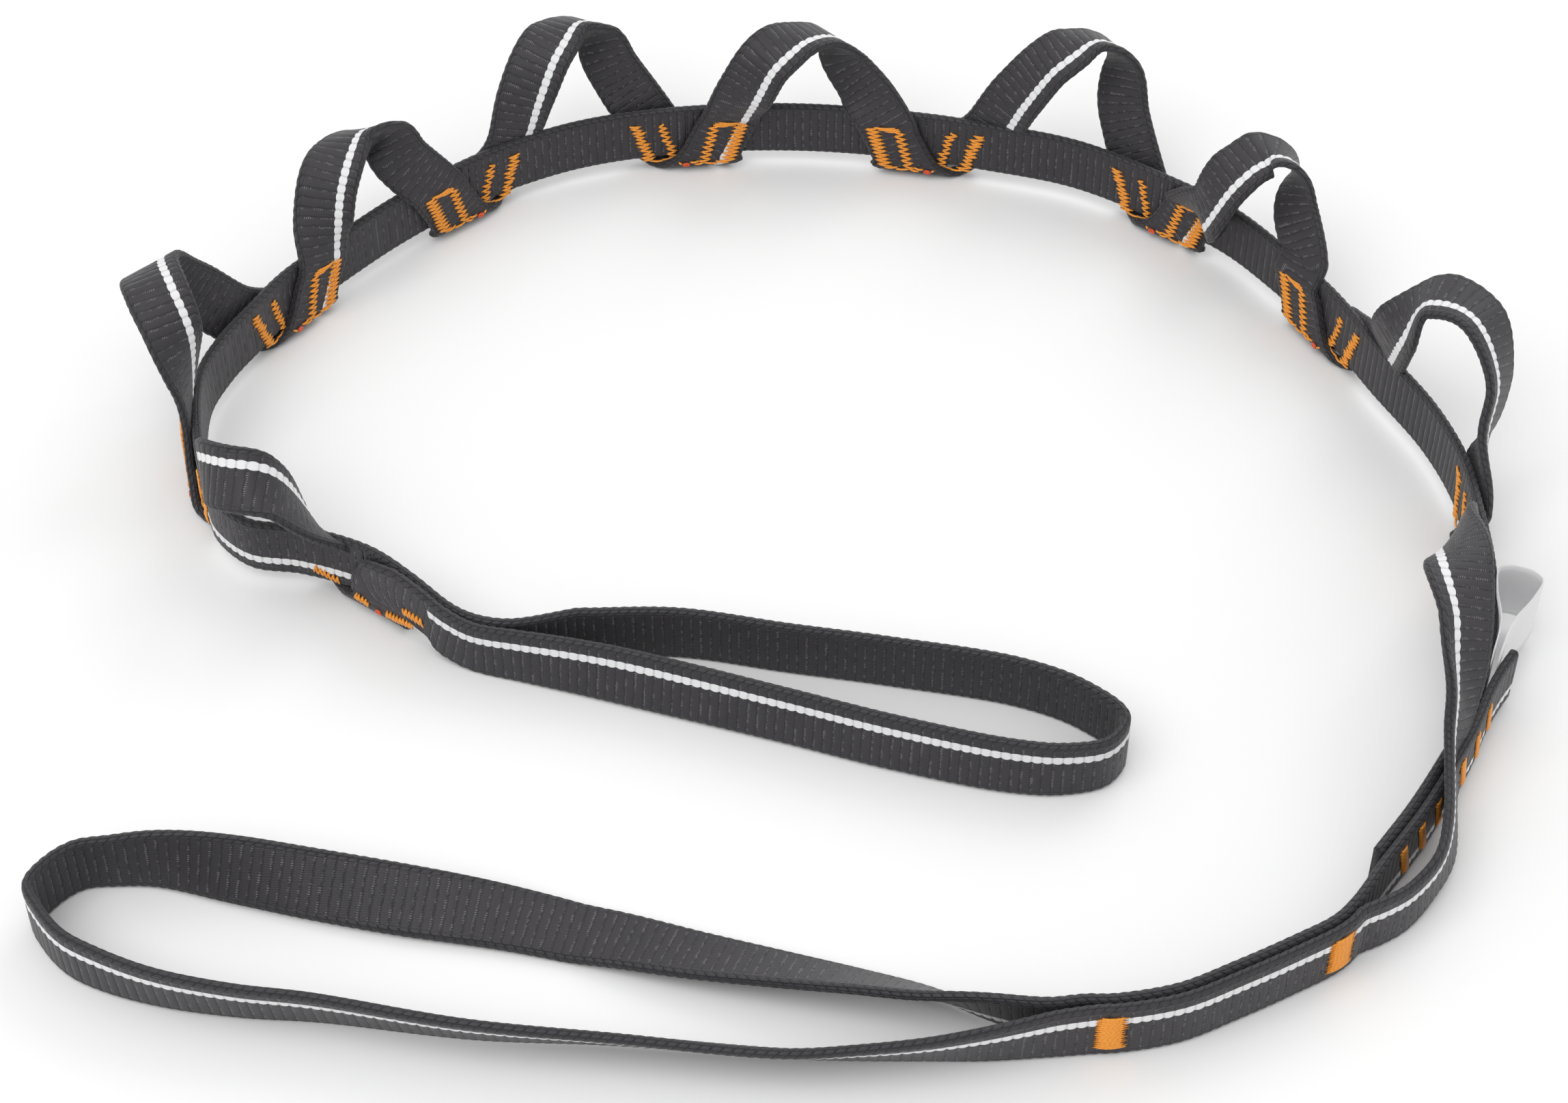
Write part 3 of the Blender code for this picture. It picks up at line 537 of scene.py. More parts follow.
def backbone_line():
    """The backbone, from its cut end back to the first junction, striped edge down."""
    controls = Controls()
    stops = [CHAIN.total, *JUNCTION_S[::-1]]
    for number, (start, end) in enumerate(zip(stops[:-1], stops[1:])):
        lengths = CHAIN.stations(end, start)[::-1]
        for s in lengths if number == 0 else lengths[1:]:
            controls.add_on_chain([s, 0, chain_base(s) + HALF_WIDTH], [0, 0, -1])
        controls.mark(f"junction_{JUNCTIONS - 1 - number}")
    return controls.line()


def leg_reaches(top):
    """Heights of unrolled leg for its rows: round the fold's half, then straight up to the top."""
    bend = np.linspace(0, FOLD_REACH, LEG_ROWS + 1)[:-1]
    return [*bend, *np.linspace(FOLD_REACH, top, LEG_ROWS + 1)]


def strap_line():
    """The rest of the strap: small loop, neck, pockets, long pocket, big loop and the sewn end."""
    controls = Controls()
    for s in CHAIN.stations(LAYER_PITCH, JUNCTION_S[0])[::-1]:
        controls.add_on_chain([s, 0, chain_base(s) + HALF_WIDTH], [0, 0, 1])
    bight = SMALL_ROUTE.length_near(SMALL_LOOP_BIGHT)
    add_standing(controls, SMALL_ROUTE, SMALL_ROUTE.stations(bight, SMALL_ROUTE.total)[::-1])
    controls.mark("bight")
    add_standing(controls, SMALL_ROUTE, SMALL_ROUTE.stations(0, bight)[-2::-1])
    controls.mark("fan")
    for low, high in np.array(NECK_ROWS) * WEBBING_WIDTH:
        middle = (low + high) / 2
        run = high - low
        controls.add_on_chain([JUNCTION_S[0] + middle[0], FOLD_RADIUS, middle[1]], [run[0], 0, run[1]])
    controls.add_leg(np.linspace(FOLD_REACH, 0, LEG_ROWS + 1), 0, -1, -POCKET_SIDES[0])
    controls.mark("fold_0")
    for pocket, side in enumerate(POCKET_SIDES):
        rising, falling = np.array(POCKET_GRIPS[pocket]) * LEG_LENGTH
        controls.add_leg(leg_reaches(rising)[1:], pocket, 1, side)
        for centre, edge in arch_rows(pocket)[1:-1]:
            controls.add_on_chain(centre, edge)
        controls.add_leg(leg_reaches(falling)[::-1], pocket + 1, -1, side)
        controls.mark(f"fold_{pocket + 1}")
    controls.add_leg(leg_reaches(LEG_LENGTH)[1:], JUNCTIONS - 1, 1, LONG_POCKET_SIDE)
    for (x, y, z), direction in LONG_POCKET:
        controls.add([x * LAYOUT_REACH, y * LAYOUT_REACH, z * WEBBING_WIDTH], direction)
    merge = BIG_ROUTE.length_near(DOUBLED_START)
    run = BIG_ROUTE.stations(merge, HINGE_LENGTH - LAYER_PITCH)
    for number, (x, y) in enumerate(beside_big_loop(run, LAYER_PITCH)):
        controls.add([x, y, HALF_WIDTH], [0, 0, 1])
        if number == 0:
            controls.mark("doubled_outer")
    left_end = BIG_ROUTE.length_near(BIG_LOOP_LEFT_END)
    add_standing(controls, BIG_ROUTE, BIG_ROUTE.stations(left_end, BIG_ROUTE.total)[::-1])
    controls.mark("left_end")
    add_standing(controls, BIG_ROUTE, BIG_ROUTE.stations(merge, left_end)[-2::-1])
    controls.mark("doubled_inner")
    add_standing(controls, BIG_ROUTE, BIG_ROUTE.stations(LAYER_PITCH, merge)[-2::-1])
    for s in CHAIN.stations(TAIL_FREE_END_S, CHAIN.total)[::-1]:
        controls.add_on_chain([s, overlap_offset(s), chain_base(s) + HALF_WIDTH], [0, 0, -1])
    controls.mark("tail_end")
    return controls.line()


def strap_section(settings):
    """The strap's cross section as columns: across, out, length round it, and the outward direction."""
    corner = HALF_THICKNESS * EDGE_ROUNDING
    angles = np.linspace(math.pi / 2, -math.pi / 2, EDGE_POINTS)
    edge = np.stack([HALF_WIDTH - corner + corner * np.cos(angles), HALF_THICKNESS * np.sin(angles)], -1)
    half = np.vstack([[0.0, HALF_THICKNESS], edge, [0.0, -HALF_THICKNESS]])
    around = lengths_along(half)
    edge_place = around[-1] / 2
    start, end = edge_place - settings.braid_reach, edge_place + settings.braid_reach
    inner = np.linspace(0, start, FACE_COLUMNS)[:-1]
    braid = np.linspace(start, end, BRAID_COLUMNS)
    outer = np.linspace(end, around[-1], FACE_COLUMNS)[1:]
    places = np.concatenate([inner, braid, outer])
    across = np.interp(places, around, half[:, 0])
    out = np.interp(places, around, half[:, 1])
    reach_out = np.clip((across - HALF_WIDTH + corner) / corner, 0, 1)
    normal = np.stack([reach_out, out / HALF_THICKNESS], -1)
    normal = normal / np.linalg.norm(normal, axis=1)[:, None]
    columns = np.column_stack([across, out, places, normal])
    mirrored = columns[1:][::-1] * [-1, 1, -1, -1, 1]
    return np.vstack([mirrored, columns]), edge_place


def relief(along, around, edge_place, settings):
    """How far the weave stands out: crosswise ribs on the faces, a braid of short links on the edges."""
    rib = np.abs(np.sin(np.pi * along / settings.rib_pitch)) ** RIB_SQUARENESS
    ribs = (rib - 1) * settings.rib_depth
    from_edge = np.abs(around) - edge_place
    row = np.round(from_edge / settings.braid_pitch)
    offset = from_edge / settings.braid_pitch - row
    link = along / settings.rib_pitch + LINK_STAGGER * (row % 2) + LINK_SLANT * offset
    plait = np.abs(np.sin(np.pi * link)) ** LINK_SQUARENESS * np.sqrt(1 - LINK_CROWN * offset**2)
    braid = (plait - 1) * settings.rib_depth * BRAID_DEPTH
    share = smooth_step((settings.braid_reach - np.abs(from_edge)) / (settings.braid_reach * BRAID_FADE))
    return ribs * (1 - share) + braid * share


def new_object(name, data):
    obj = bpy.data.objects.new(name, data)
    bpy.context.scene.collection.objects.link(obj)
    return obj


def map_strap(mesh, along, across):
    """Writes each vertex's place on the strap, along it and across it, to the strap's UV map."""
    corners = np.zeros(len(mesh.loops), np.int32)
    mesh.loops.foreach_get("vertex_index", corners)
    uv = np.stack([along[corners], across[corners]], -1)
    layer = mesh.uv_layers.new(name="strap")
    layer.data.foreach_set("uv", uv.astype(np.float32).ravel())


def close_shell(shell, mesh, distance):
    """Merges doubles, fills open ends, turns faces outwards and hands the shape to the mesh."""
    bmesh.ops.remove_doubles(shell, verts=shell.verts, dist=distance)
    rims = [edge for edge in shell.edges if edge.is_boundary]
    bmesh.ops.holes_fill(shell, edges=rims, sides=0)
    bmesh.ops.recalc_face_normals(shell, faces=shell.faces)
    shell.to_mesh(mesh)
    shell.free()
    mesh.shade_smooth()


def lay_strap(name, route, start, end):
    """A length of strap: a grid laid round the section and along the line, closed into one skin."""
    settings = bpy.context.scene.daisy_webbing
    section, edge_place = strap_section(settings)
    columns = len(section)
    count = max(4, int(round(abs(end - start) / FINE_STEP)) + 1)
    lengths = np.linspace(start, end, count)
    values = route.at(lengths)
    run = route.heading(lengths, FINE_STEP)
    edge = unit(values[:, 3:])
    lean = np.clip(np.sum(run * edge, axis=1), -MOST_LEAN, MOST_LEAN)
    face = unit(np.cross(edge, run))
    stretch = 1 / np.sqrt(1 - lean**2)
    across, out, around = section[:, 0], section[:, 1], section[:, 2]
    along = lengths[:, None] + across[None, :] * (stretch * lean)[:, None]
    lift = relief(along, np.broadcast_to(around, along.shape), edge_place, settings)
    sideways = (across + lift * section[:, 3]) * stretch[:, None]
    outward = out + lift * section[:, 4]
    places = (
        values[:, None, :3]
        + edge[:, None] * sideways[..., None]
        + face[:, None] * outward[..., None]
    )
    mesh = bpy.data.meshes.new(name)
    shell = bmesh.new()
    bmesh.ops.create_grid(shell, x_segments=columns - 1, y_segments=count - 1, size=1)
    shell.to_mesh(mesh)
    mesh.vertices.foreach_set("co", places.reshape(-1, 3).astype(np.float32).ravel())
    map_strap(mesh, along.ravel(), np.tile(around, count))
    shell.clear()
    shell.from_mesh(mesh)
    close_shell(shell, mesh, LAYER_GAP / 100)
    return new_object(name, mesh)


def lay_ribbon(name, rows, thickness):
    """A thin sheet laid through rows of places, given its thickness by a modifier."""
    rows = np.asarray(rows, float) + LAYOUT_PLACE
    count, width = rows.shape[:2]
    mesh = bpy.data.meshes.new(name)
    grid = bmesh.new()
    bmesh.ops.create_grid(grid, x_segments=width - 1, y_segments=count - 1, size=1)
    for vert, place in zip(grid.verts, rows.reshape(-1, 3)):
        vert.co = place
    grid.normal_update()
    grid.to_mesh(mesh)
    grid.free()
    across = np.linalg.norm(rows[0] - rows[0, 0], axis=1)
    map_strap(mesh, np.repeat(lengths_along(rows[:, 0]), width), np.tile(across, count))
    mesh.shade_smooth()
    obj = new_object(name, mesh)
    shell = obj.modifiers.new("thickness", "SOLIDIFY")
    shell.thickness = thickness
    shell.offset = 0
    return obj


class Graph:
    """A small helper that adds nodes to a tree and links them."""

    def __init__(self, tree):
        self.tree = tree

    def node(self, kind, **values):
        made = self.tree.nodes.new(kind)
        for name, value in values.items():
            setattr(made, name, value)
        return made

    def feed(self, socket, value):
        if isinstance(value, bpy.types.NodeSocket):
            self.tree.links.new(value, socket)
        else:
            socket.default_value = value

    def math(self, operation, *values):
        made = self.node("ShaderNodeMath", operation=operation)
        for socket, value in zip(made.inputs, values):
            self.feed(socket, value)
        return made.outputs[0]

    def add(self, first, second):
        return self.math("ADD", first, second)

    def subtract(self, first, second):
        return self.math("SUBTRACT", first, second)

    def multiply(self, first, second):
        return self.math("MULTIPLY", first, second)

    def divide(self, first, second):
        return self.math("DIVIDE", first, second)

    def wave(self, turn):
        """A sine that runs from nothing to one."""
        return self.add(self.multiply(self.math("SINE", turn), 0.5), 0.5)

    def rise(self, value, low, high):
        """Nothing below low, one above high and smooth between."""
        made = self.node("ShaderNodeMapRange", interpolation_type="SMOOTHSTEP")
        for socket, given in zip(made.inputs, (value, low, high, 0.0, 1.0)):
            self.feed(socket, given)
        return made.outputs[0]

    def fall(self, value, low, high):
        return self.subtract(1.0, self.rise(value, low, high))

    def mix(self, factor, first, second):
        made = self.node("ShaderNodeMix", data_type="RGBA")
        for label, value in (("Factor", factor), ("A", first), ("B", second)):
            self.feed(made.inputs[label], value)
        return made.outputs["Result"]

    def split(self, vector):
        """A vector's first two parts, which on the strap are along it and round it."""
        parts = self.node("ShaderNodeSeparateXYZ")
        self.feed(parts.inputs[0], vector)
        return parts.outputs[0], parts.outputs[1]

    def noise(self, vector, scale, detail, dimensions="3D"):
        made = self.node("ShaderNodeTexNoise", noise_dimensions=dimensions)
        self.feed(made.inputs["Vector"], vector)
        self.feed(made.inputs["Scale"], scale)
        made.inputs["Detail"].default_value = detail
        return made.outputs[0]

    def strap_place(self):
        return self.node("ShaderNodeUVMap", uv_map="strap").outputs[0]

    def placed(self, group, **values):
        """The outputs of a node group, set in this tree with these inputs."""
        made = self.node("ShaderNodeGroup")
        made.node_tree = bpy.data.node_groups[group]
        for name, value in values.items():
            self.feed(made.inputs[name.replace("_", " ")], value)
        return made.outputs

    def fibres(self, scale):
        place = self.node("ShaderNodeTexCoord").outputs["Object"]
        return self.placed("Fibres", Place=place, Scale=scale)

    def bump(self, shader, height, distance, strength):
        made = self.node("ShaderNodeBump")
        made.inputs["Strength"].default_value = strength
        made.inputs["Distance"].default_value = distance
        self.feed(made.inputs["Height"], height)
        self.feed(shader.inputs["Normal"], made.outputs[0])


def new_group(name, vector, values, outputs):
    """A shader node group with one vector input, float inputs and float outputs."""
    tree = bpy.data.node_groups.new(name, "ShaderNodeTree")
    tree.interface.new_socket(vector, in_out="INPUT", socket_type="NodeSocketVector")
    for side, labels in (("INPUT", values), ("OUTPUT", outputs)):
        for label in labels:
            tree.interface.new_socket(label, in_out=side, socket_type="NodeSocketFloat")
    graph = Graph(tree)
    return graph, graph.node("NodeGroupInput").outputs, graph.node("NodeGroupOutput").inputs


# The painted weave, by shares of a rib: how unevenly ribs run, how far each turns its yarns against
# the last, what its flanks keep of their yarns' lines, and what its body and those lines raise
RIB_SHAKE = 0.25
RANK_TURN = 2.4
FLANK_LINES = 0.3
BODY_HEIGHT = 0.6
LINE_HEIGHT = 0.4


def weave_group():
    """Crosswise ribs of parallel yarns: height, the grooves between ribs and a mask for a painted highlight
    on the raised yarn ends.
    """
    graph, given, out = new_group(
        "Ribbed weave", "Strap", ["Rib Pitch", "Yarn Pitch"], ["Height", "Groove", "Painted Highlight"]
    )
    along, across = graph.split(given["Strap"])
    wobble = graph.noise(given["Strap"], scale=900.0, detail=1.0, dimensions="2D")
    shake = graph.multiply(graph.subtract(wobble, 0.5), RIB_SHAKE)
    ribs = graph.add(graph.add(graph.divide(along, given["Rib Pitch"]), shake), 0.5)
    phase = graph.subtract(graph.math("FRACT", ribs), 0.5)
    groove = graph.fall(graph.math("ABSOLUTE", phase), low=0.02, high=0.14)
    near = graph.multiply(graph.rise(phase, low=-0.30, high=-0.14), graph.fall(phase, low=-0.06, high=0.0))
    turns = graph.multiply(graph.divide(across, given["Yarn Pitch"]), 2 * math.pi)
    yarns = graph.wave(graph.add(turns, graph.multiply(graph.math("FLOOR", ribs), RANK_TURN)))
    lines = graph.multiply(yarns, graph.add(graph.multiply(near, 1 - FLANK_LINES), FLANK_LINES))
    patchy = graph.noise(given["Strap"], scale=420.0, detail=2.0, dimensions="2D")
    # A painted highlight on the raised yarn ends of each rib's flank, in patches
    painted_highlight = graph.multiply(graph.rise(yarns, low=0.35, high=0.85), near)
    graph.feed(out["Painted Highlight"], graph.multiply(painted_highlight, graph.rise(patchy, low=0.42, high=0.62)))
    graph.feed(out["Groove"], groove)
    body = graph.multiply(graph.subtract(1.0, groove), BODY_HEIGHT)
    graph.feed(out["Height"], graph.add(body, graph.multiply(lines, LINE_HEIGHT)))


def fibre_group():
    """Slow changes of tone over the cloth and the fine fuzz of its fibres."""
    graph, given, out = new_group("Fibres", "Place", ["Scale"], ["Tone", "Fuzz"])
    graph.feed(out["Tone"], graph.noise(given["Place"], scale=70.0, detail=3.0))
    graph.feed(out["Fuzz"], graph.noise(given["Place"], scale=given["Scale"], detail=2.0))


def braid_group():
    """Short slanting links along the strap's edges: their height and the gaps between them."""
    graph, given, out = new_group(
        "Edge braid", "Strap", ["Rib Pitch", "Row Pitch", "Edge Place", "Reach"], ["Height", "Gap", "Share"]
    )
    along, around = graph.split(given["Strap"])
    away = graph.subtract(graph.math("ABSOLUTE", around), given["Edge Place"])
    rows = graph.divide(away, given["Row Pitch"])
    row = graph.math("FLOOR", graph.add(rows, 0.5))
    offset = graph.subtract(rows, row)
    stagger = graph.multiply(graph.math("FLOORED_MODULO", row, 2.0), LINK_STAGGER)
    shift = graph.add(stagger, graph.multiply(offset, LINK_SLANT))
    link = graph.subtract(graph.math("FRACT", graph.add(graph.divide(along, given["Rib Pitch"]), shift)), 0.5)
    end_gap = graph.rise(graph.math("ABSOLUTE", link), low=0.36, high=0.5)
    side_gap = graph.rise(graph.math("ABSOLUTE", offset), low=0.28, high=0.5)
    gap = graph.math("MAXIMUM", end_gap, side_gap)
    graph.feed(out["Gap"], gap)
    graph.feed(out["Height"], graph.subtract(1.0, gap))
    ratio = graph.divide(graph.math("ABSOLUTE", away), given["Reach"])
    graph.feed(out["Share"], graph.fall(ratio, low=0.72, high=1.0))


def new_material(name, **values):
    """A material, its graph and its shader, whose sockets are set to these values."""
    material = bpy.data.materials.new(name)
    material.use_nodes = True
    shader = material.node_tree.nodes["Principled BSDF"]
    for label, value in values.items():
        shader.inputs[label.replace("_", " ")].default_value = value
    return material, Graph(material.node_tree), shader


# Webbing: how dark the painted shade in its grooves is, how strong the painted highlight on its raised yarn
# ends is, the tracer's waist and its bulge on each rib, both as shares of its width, and how much painted
# shade its own grooves lay on it
GROOVE_SHADE_STRENGTH = 0.7
HIGHLIGHT_STRENGTH = 0.8
STRIPE_WAIST = 0.80
STRIPE_BULGE = 0.30
STRIPE_GROOVE_SHADING = 0.22
STRIPE_SHADE_GREY = (0.2, 0.2, 0.21, 1)
# The least and the range of the yarn's tone and of its roughness, and what its fuzz raises
TONE_LEAST, TONE_RANGE = 0.75, 0.5
ROUGHNESS_LEAST, ROUGHNESS_RANGE = 0.46, 0.25
FUZZ_HEIGHT = 0.12


def webbing_material(name, striped=True):
    """Woven webbing, with or without its white tracer."""
    settings = bpy.context.scene.daisy_webbing
    _, edge_place = strap_section(settings)
    material, graph, shader = new_material(name, Sheen_Weight=0.15, Sheen_Roughness=0.4)
    strap = graph.strap_place()
    weave = graph.placed(
        "Ribbed weave", Strap=strap, Rib_Pitch=settings.rib_pitch, Yarn_Pitch=settings.yarn_pitch
    )
    braid = graph.placed(
        "Edge braid", Strap=strap, Rib_Pitch=settings.rib_pitch, Row_Pitch=settings.braid_pitch,
        Edge_Place=edge_place, Reach=settings.braid_reach,
    )
    fibres = graph.fibres(scale=2600.0)
    # Painted shade darkens the grooves between ribs and the gaps between the braid's links
    yarn, painted_shade = tuple(settings.colour), tuple(settings.groove_shade_colour)
    cloth = graph.mix(graph.multiply(weave["Groove"], GROOVE_SHADE_STRENGTH), yarn, painted_shade)
    # A painted highlight on the raised yarn ends
    cloth = graph.mix(graph.multiply(weave["Painted Highlight"], HIGHLIGHT_STRENGTH), cloth, tuple(settings.lit_colour))
    cloth = graph.mix(braid["Share"], cloth, graph.mix(braid["Gap"], yarn, painted_shade))
    toned = graph.node("ShaderNodeVectorMath", operation="SCALE")
    graph.feed(toned.inputs[0], cloth)
    graph.feed(toned.inputs["Scale"], graph.add(graph.multiply(fibres["Tone"], TONE_RANGE), TONE_LEAST))
    colour = toned.outputs[0]
    if striped:
        along, around = graph.split(strap)
        turn = graph.multiply(graph.divide(along, settings.rib_pitch), math.pi)
        bulge = graph.multiply(graph.math("ABSOLUTE", graph.math("SINE", turn)), STRIPE_BULGE)
        half = graph.multiply(graph.add(bulge, STRIPE_WAIST), settings.stripe_width / 2)
        off = graph.math("ABSOLUTE", graph.subtract(around, settings.stripe_place))
        stripe = graph.fall(graph.divide(off, half), low=0.93, high=1.07)
        # Painted shade in the grooves greys the white tracer
        stripe_groove_shade = graph.multiply(weave["Groove"], STRIPE_GROOVE_SHADING)
        colour = graph.mix(stripe, colour, graph.mix(stripe_groove_shade, tuple(settings.stripe_colour), STRIPE_SHADE_GREY))
    graph.feed(shader.inputs["Base Color"], colour)
    rough = graph.add(graph.multiply(fibres["Fuzz"], ROUGHNESS_RANGE), ROUGHNESS_LEAST)
    graph.feed(shader.inputs["Roughness"], rough)
    mixed = graph.node("ShaderNodeMix", data_type="FLOAT")
    graph.feed(mixed.inputs["Factor"], braid["Share"])
    graph.feed(mixed.inputs["A"], graph.add(weave["Height"], graph.multiply(fibres["Fuzz"], FUZZ_HEIGHT)))
    graph.feed(mixed.inputs["B"], braid["Height"])
    graph.bump(shader, mixed.outputs["Result"], distance=0.00022, strength=0.9)
    return material


# Thread: turns of its plies along and round it, in radians a metre, how much of the painted shade between the
# plies shows, how dark that painted shade is, and how much lighter the fuzz is than the thread
PLY_TURNS = (5200.0, 4000.0)
PLY_SHADE = 0.38
PLY_SHADE_DARKNESS = 0.45
FUZZ_GAIN, FUZZ_LIFT = 1.25, 0.02


def thread_material(name, colour):
    """Plied sewing thread of this colour, with painted shade between its plies."""
    material, graph, shader = new_material(name, Roughness=0.42, Sheen_Weight=0.2)
    turns = [graph.multiply(place, turn) for place, turn in zip(graph.split(graph.strap_place()), PLY_TURNS)]
    plies = graph.wave(graph.add(*turns))
    # Painted shade between the plies: a darker copy of the thread's colour
    painted_shade = (*(c * PLY_SHADE_DARKNESS for c in colour[:3]), 1.0)
    bright = (*(min(1.0, c * FUZZ_GAIN + FUZZ_LIFT) for c in colour[:3]), 1.0)
    shade = graph.mix(graph.multiply(plies, PLY_SHADE), tuple(colour), painted_shade)
    lit = graph.rise(graph.fibres(scale=3200.0)["Fuzz"], low=0.5, high=0.8)
    graph.feed(shader.inputs["Base Color"], graph.mix(lit, shade, bright))
    graph.bump(shader, graph.subtract(1.0, plies), distance=0.00008, strength=0.7)
    return material


# Ribbon: the pitch of its ribs and yarns, how much the painted shade in its grooves and its random tone grey
# it, the grey of that painted groove shade and the grey of the tone, and how far light spreads in it, in
# thicknesses
RIBBON_RIBS, RIBBON_YARNS = 0.0005, 0.0004
RIBBON_GREYING = 0.12
RIBBON_GROOVE_SHADE = (0.45, 0.45, 0.47, 1)
RIBBON_SHADE = (0.62, 0.62, 0.65, 1)
RIBBON_GLOW = 4


def label_material(name):
    """White ribbon of a fine weave, which lets some light through."""
    settings = bpy.context.scene.daisy_label
    material, graph, shader = new_material(
        name, Roughness=0.5, Sheen_Weight=0.3, Subsurface_Weight=0.45, Subsurface_Radius=(1.0, 1.0, 1.0),
        Subsurface_Scale=settings.thickness * RIBBON_GLOW,
    )
    weave = graph.placed(
        "Ribbed weave", Strap=graph.strap_place(), Rib_Pitch=RIBBON_RIBS, Yarn_Pitch=RIBBON_YARNS
    )
    tone = graph.multiply(graph.fibres(scale=1800.0)["Tone"], RIBBON_GREYING)
    # Painted shade in the ribbon's grooves
    painted_groove_shade = graph.multiply(weave["Groove"], RIBBON_GREYING)
    soft = graph.mix(painted_groove_shade, tuple(settings.colour), RIBBON_GROOVE_SHADE)
    graph.feed(shader.inputs["Base Color"], graph.mix(tone, soft, RIBBON_SHADE))
    graph.bump(shader, weave["Height"], distance=0.00005, strength=0.4)
    return material


MATERIALS = {
    "Charcoal webbing": webbing_material,
    "Bare webbing": lambda name: webbing_material(name, striped=False),
    "Orange thread": lambda name: thread_material(name, bpy.context.scene.daisy_thread.colour),
    "Knot thread": lambda name: thread_material(name, bpy.context.scene.daisy_thread.knot_colour),
    "White ribbon": label_material,
}


def dress(obj, body=None, nodes=(), blended=None, material="Charcoal webbing"):
    """Gives a piece its material, bakes its transform if it is blended and else attaches it to its body, and
    hides the nodes it stands for.
    """
    obj.data.materials.append(bpy.data.materials.get(material) or MATERIALS[material](material))
    if blended:
        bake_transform(obj)
    else:
        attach(obj, body)
    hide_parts(*nodes)
    return obj


def across_hinge(s, reach):
    """The two places on either side of this length of the chain that are given for a bend there."""
    return tuple(tuple(on_chain(s + step, 0, CHAIN_BASE) + LAYOUT_PLACE) for step in (reach, -reach))


def span_blend(link):
    """The two bodies and the two places given as the blend of the strap between two junctions."""
    return (f"link_{link + 1}", f"link_{link}", *across_hinge(HINGE_S[link], BEND_REACH))


LAST_LINK = f"link_{JUNCTIONS - 1}"
BACKBONE, BACKBONE_MARKS = backbone_line()
STRAP, STRAP_MARKS = strap_line()
STRAP_MARKS["start"] = 0
STRAP_MARKS["stripe_end"] = STRAP_MARKS["fan"] + STRIPE_INTO_FAN


def lay_between(name, first, second):
    """A length of the folded strap between two of its marks."""
    return lay_strap(name, STRAP, STRAP_MARKS[first], STRAP_MARKS[second])


class DAISY_OT_backbone(bpy.types.Operator):
    """Lay the backbone from its sewn end to the first junction"""

    bl_idname = "daisy.backbone"
    bl_label = "Backbone"

    def execute(self, context):
        stops = [BACKBONE_MARKS[f"junction_{junction}"] for junction in range(JUNCTIONS)]
        end = lay_strap("backbone_end", BACKBONE, 0, stops[-1])
        dress(end, body=LAST_LINK, nodes=[f"backbone_{JUNCTIONS - 1}"])
        for link in range(POCKETS):
            piece = lay_strap(f"backbone_span_{link}", BACKBONE, stops[link + 1], stops[link])
            dress(piece, nodes=[f"backbone_{link}"], blended=span_blend(link))
        return {"FINISHED"}


class DAISY_OT_pockets(bpy.types.Operator):
    """Lay the eight pockets, each from the middle of one fold to the middle of the next"""

    bl_idname = "daisy.pockets"
    bl_label = "Pockets"

    def execute(self, context):
        for link in range(POCKETS):
            piece = lay_between(f"pocket_strap_{link}", f"fold_{link}", f"fold_{link + 1}")
            dress(piece, nodes=[f"pocket_{link}", f"fold_{link}"], blended=span_blend(link))
        return {"FINISHED"}


class DAISY_OT_small_loop(bpy.types.Operator):
    """Lay the small end loop and its neck"""

    bl_idname = "daisy.small_loop"
    bl_label = "Small end loop"

    def execute(self, context):
        blended = ("link_0", "small_end_loop", *across_hinge(NECK_S, BEND_REACH / 2))
        far = lay_between("small_loop_far_strand", "start", "bight")
        near = lay_between("small_loop_near_strand", "bight", "stripe_end")
        fan = lay_between("neck_fan", "stripe_end", "fold_0")
        dress(far, nodes=["small_loop_far"], blended=blended)
        dress(near, nodes=["small_loop_near"], blended=blended)
        dress(fan, blended=blended, material="Bare webbing")
        return {"FINISHED"}


class DAISY_OT_big_loop(bpy.types.Operator):
    """Lay the long pocket, the doubled section, the big end loop and the sewn end"""

    bl_idname = "daisy.big_loop"
    bl_label = "Long pocket and big end loop"

    def execute(self, context):
        pocket = lay_between("long_pocket", f"fold_{POCKETS}", "doubled_outer")
        dress(pocket, body=LAST_LINK, nodes=[f"fold_{POCKETS}", "long_pocket_strap"])
        bend = [
            tuple(np.array([*beside_big_loop(HINGE_LENGTH + step, 0), 0.0]) + LAYOUT_PLACE)
            for step in (-BEND_REACH / 2, BEND_REACH / 2)
        ]
        blended = (LAST_LINK, "big_end_loop", *bend)
        near = lay_between("big_loop_near_strand", "doubled_outer", "left_end")
        far = lay_between("big_loop_far_strand", "left_end", "doubled_inner")
        dress(near, nodes=["big_loop_near"], blended=blended)
        dress(far, nodes=["big_loop_far", "big_loop_twist"], blended=blended)
        sewn = lay_between("sewn_end", "doubled_inner", "tail_end")
        dress(sewn, body=LAST_LINK, nodes=["overlap_strap"])
        return {"FINISHED"}


